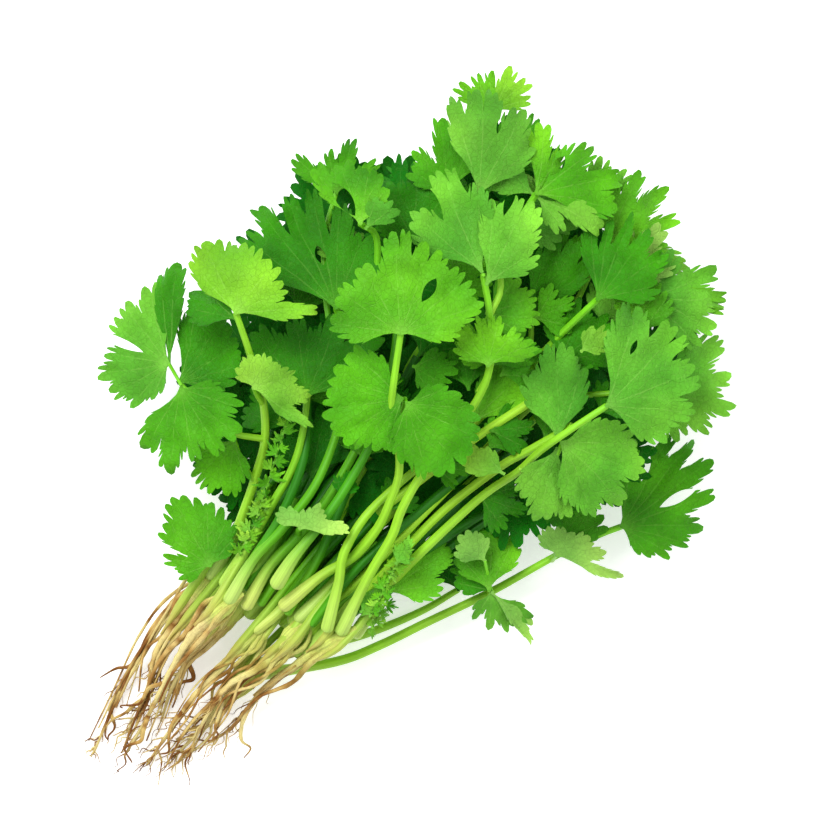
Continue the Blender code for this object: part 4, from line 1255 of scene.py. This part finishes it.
class Skin:
    """A new material, and short ways to add nodes to it."""

    def __init__(self, name, roughness, specular):
        self.material = bpy.data.materials.new(name)
        self.material.use_nodes = True
        self.shader = self.material.node_tree.nodes["Principled BSDF"]
        self.feed(self.shader, {"Roughness": roughness, "Specular IOR Level": specular})

    def feed(self, node, inputs):
        """Give a node's inputs their values, or the sockets that feed them."""
        for key, value in inputs.items():
            if isinstance(value, bpy.types.NodeSocket):
                self.material.node_tree.links.new(value, node.inputs[key])
            else:
                node.inputs[key].default_value = value

    def node(self, kind, inputs, **settings):
        """Add a node."""
        made = self.material.node_tree.nodes.new(kind)
        for key, value in settings.items():
            setattr(made, key, value)
        self.feed(made, inputs)
        return made

    def attribute(self, name, output="Fac"):
        """A value that each vertex holds."""
        return self.node("ShaderNodeAttribute", {}, attribute_name=name).outputs[output]

    def noise(self, vector, scale, detail, roughness=0.5):
        """Soft spots from 0 to 1."""
        inputs = {"Vector": vector, "Scale": scale, "Detail": detail, "Roughness": roughness}
        return self.node("ShaderNodeTexNoise", inputs).outputs["Fac"]

    def stretched(self, vector, scale):
        """Coordinates scaled along each axis."""
        return self.node("ShaderNodeMapping", {"Vector": vector, "Scale": scale}).outputs[0]

    def ramp(self, value, *stops):
        """Greys from (place, grey) stops."""
        node = self.node("ShaderNodeValToRGB", {"Fac": value})
        for element, (place, grey) in zip(node.color_ramp.elements, stops):
            element.position = place
            element.color = (grey, grey, grey, 1)
        return node.outputs["Color"]

    def net(self, vector, scale, width):
        """Thin lines between cells: 1 at a line's middle, 0 at its width."""
        inputs = {"Vector": vector, "Scale": scale, "Randomness": 1.0}
        cells = self.node("ShaderNodeTexVoronoi", inputs, feature="DISTANCE_TO_EDGE")
        return self.ramp(cells.outputs["Distance"], (0.0, 1.0), (width, 0.0))

    def span(self, value, low, high, start, end):
        """The value moved from low and high to start and end."""
        inputs = {"Value": value, "From Min": low, "From Max": high, "To Min": start, "To Max": end}
        return self.node("ShaderNodeMapRange", inputs).outputs[0]

    def times(self, a, b):
        """Product of two numbers."""
        return self.node("ShaderNodeMath", {0: a, 1: b}, operation="MULTIPLY").outputs[0]

    def plus(self, a, b):
        """Sum of two numbers."""
        return self.node("ShaderNodeMath", {0: a, 1: b}, operation="ADD").outputs[0]

    def scaled(self, colour, factor):
        """A colour times a number."""
        return self.node("ShaderNodeVectorMath", {0: colour, "Scale": factor}, operation="SCALE").outputs[0]

    def blend(self, factor, a, b):
        """From colour a to colour b."""
        return self.node("ShaderNodeMix", {"Factor": factor, 6: a, 7: b}, data_type="RGBA").outputs[2]

    def bump(self, height, strength, depth):
        """Let the light fall as on a relief, some millimetres deep."""
        inputs = {"Height": height, "Strength": strength, "Distance": depth * MM}
        self.feed(self.shader, {"Normal": self.node("ShaderNodeBump", inputs).outputs["Normal"]})


def leaf_material(name, roughness, vein_marks):
    """Leaf skin: mottled, with pale veins, a fine net between them and a paler underside."""
    skin = Skin(name, roughness, 0.12)
    tint, flat = skin.attribute("tint", "Color"), skin.attribute("flat", "Vector")
    blotch = skin.noise(flat, 0.11, 4.0, 0.6)
    grain = skin.noise(flat, 0.9, 3.0, 0.7)
    lines, fine_lines = skin.net(flat, 0.62, 0.07), skin.net(flat, 1.7, 0.10)
    ribs = skin.ramp(skin.attribute("vein"), (0.25, 0.0), (0.8, 1.0))
    mottle = skin.times(skin.span(blotch, 0.25, 0.75, 0.78, 1.22), skin.span(grain, 0.2, 0.8, 0.90, 1.10))
    mottled = skin.scaled(tint, mottle)
    lighter = skin.blend(0.5, mottled, (0.42, 0.72, 0.16, 1))
    marks = skin.plus(skin.times(ribs, vein_marks), skin.times(lines, 0.10))
    veined = skin.blend(marks, mottled, lighter)
    colour = skin.blend(skin.times(skin.attribute("under"), 0.35), veined, (0.36, 0.58, 0.25, 1))
    rough = skin.span(grain, 0.3, 0.7, roughness - 0.07, roughness + 0.1)
    skin.feed(skin.shader, {"Base Color": colour, "Roughness": rough})
    relief = skin.plus(skin.times(ribs, 0.15), skin.times(lines, -0.5))
    relief = skin.plus(relief, skin.times(fine_lines, -0.2))
    skin.bump(skin.plus(relief, skin.times(grain, 0.5)), 0.7, 0.4)
    return skin.material


def stalk_material(name):
    """Stalk skin: fine lengthwise lines, a slight mottle and a wet-looking sheen."""
    skin = Skin(name, 0.42, 0.28)
    tint, flat = skin.attribute("tint", "Color"), skin.attribute("flat", "Vector")
    lines = skin.noise(skin.stretched(flat, (1.3, 1.3, 0.03)), 1.6, 4.0, 0.65)
    mottle = skin.span(skin.noise(flat, 0.09, 3.0), 0.3, 0.7, 0.86, 1.12)
    crest = skin.span(skin.attribute("vein"), 0, 1, 0.90, 1.08)
    shade = skin.times(skin.times(skin.span(lines, 0.3, 0.7, 0.80, 1.14), mottle), crest)
    skin.feed(skin.shader, {"Base Color": skin.scaled(tint, shade)})
    skin.bump(lines, 0.4, 0.2)
    return skin.material


def root_material(name):
    """Root bark: cross wrinkles, lengthwise fibres and dark specks of soil."""
    skin = Skin(name, 0.82, 0.25)
    tint, flat = skin.attribute("tint", "Color"), skin.attribute("flat", "Vector")
    wrinkles = skin.noise(skin.stretched(flat, (0.25, 0.25, 1.1)), 1.0, 5.0, 0.7)
    fibres = skin.noise(skin.stretched(flat, (1.1, 1.1, 0.07)), 1.2, 5.0, 0.7)
    soil = skin.ramp(skin.noise(flat, 0.16, 4.0, 0.65), (0.52, 0.0), (0.66, 1.0))
    shade = skin.times(skin.span(wrinkles, 0.3, 0.7, 0.86, 1.12), skin.span(fibres, 0.3, 0.7, 0.60, 1.24))
    colour = skin.blend(skin.times(soil, 0.5), skin.scaled(tint, shade), (0.33, 0.15, 0.05, 1))
    skin.feed(skin.shader, {"Base Color": colour})
    skin.bump(skin.plus(wrinkles, fibres), 0.7, 0.5)
    return skin.material


# Surroundings

def make_floor():
    """The plain pale surface that the bunch lies on."""
    half = FLOOR_SIZE / 2
    mesh = bpy.data.meshes.new("floor")
    mesh.from_pydata([(-half, -half, 0), (half, -half, 0), (half, half, 0), (-half, half, 0)], [],
                     [(0, 1, 2, 3)])
    floor = bpy.data.objects.new("floor", mesh)
    bpy.context.scene.collection.objects.link(floor)
    paper = Skin("floor_paper", 0.9, 0.1)
    paper.feed(paper.shader, {"Base Color": FLOOR_COLOUR, "Emission Color": WHITE,
                              "Emission Strength": FLOOR_GLOW})
    mesh.materials.append(paper.material)


def make_sky():
    """Even white light from all sides."""
    world = bpy.data.worlds.new("studio")
    world.use_nodes = True
    sky = world.node_tree.nodes["Background"]
    sky.inputs["Color"].default_value = WHITE
    sky.inputs["Strength"].default_value = SKY_STRENGTH
    bpy.context.scene.world = world


def make_lamp(name, offset, size, watts):
    """A square soft light that points at the middle of the bunch."""
    lamp = bpy.data.lights.new(name, "AREA")
    lamp.shape = "SQUARE"
    lamp.size = size
    lamp.energy = watts
    made = bpy.data.objects.new(name, lamp)
    made.location = MIDDLE + Vector(offset)
    made.rotation_euler = (-Vector(offset)).to_track_quat("-Z", "Y").to_euler()
    bpy.context.scene.collection.objects.link(made)


def make_camera():
    """A camera that looks straight down on the bunch, turned as far as the bunch lies askew."""
    lens = bpy.data.cameras.new("camera")
    lens.sensor_width = SENSOR
    lens.lens = SENSOR * (CAMERA_HEIGHT - VIEW_LEVEL) / VIEW_WIDTH
    lens.clip_end = VIEW_END
    camera = bpy.data.objects.new("camera", lens)
    camera.location = MIDDLE + Vector((0, 0, CAMERA_HEIGHT))
    camera.rotation_euler = (0, 0, math.radians(-ROLL))
    bpy.context.scene.collection.objects.link(camera)
    bpy.context.scene.camera = camera
    bpy.context.scene.view_settings.view_transform = "Standard"


# One leaf skin in copies for lit, middle and shaded leaves; the shaded copy, with fainter vein marks and a
# duller surface, goes with painted shade
MATERIALS = {
    "leaf_bright": leaf_material("leaf_bright_skin", 0.46, 0.30),
    "leaf_mid": leaf_material("leaf_mid_skin", 0.48, 0.28),
    "leaf_dark": leaf_material("leaf_dark_skin", 0.52, 0.17),
    "stalk": stalk_material("stalk_skin"),
    "root": root_material("root_bark"),
}
for number, root in enumerate(ROOTS, 1):
    make_root(root, number)
for number, stalk in enumerate(STALKS, 1):
    make_stalk(stalk, number)
make_inner_leaves()
make_extra_leaves()
make_sprigs()
make_frills()
make_inner_stalks()
make_floor()
make_sky()
for lamp in LAMPS:
    make_lamp(*lamp)
make_camera()
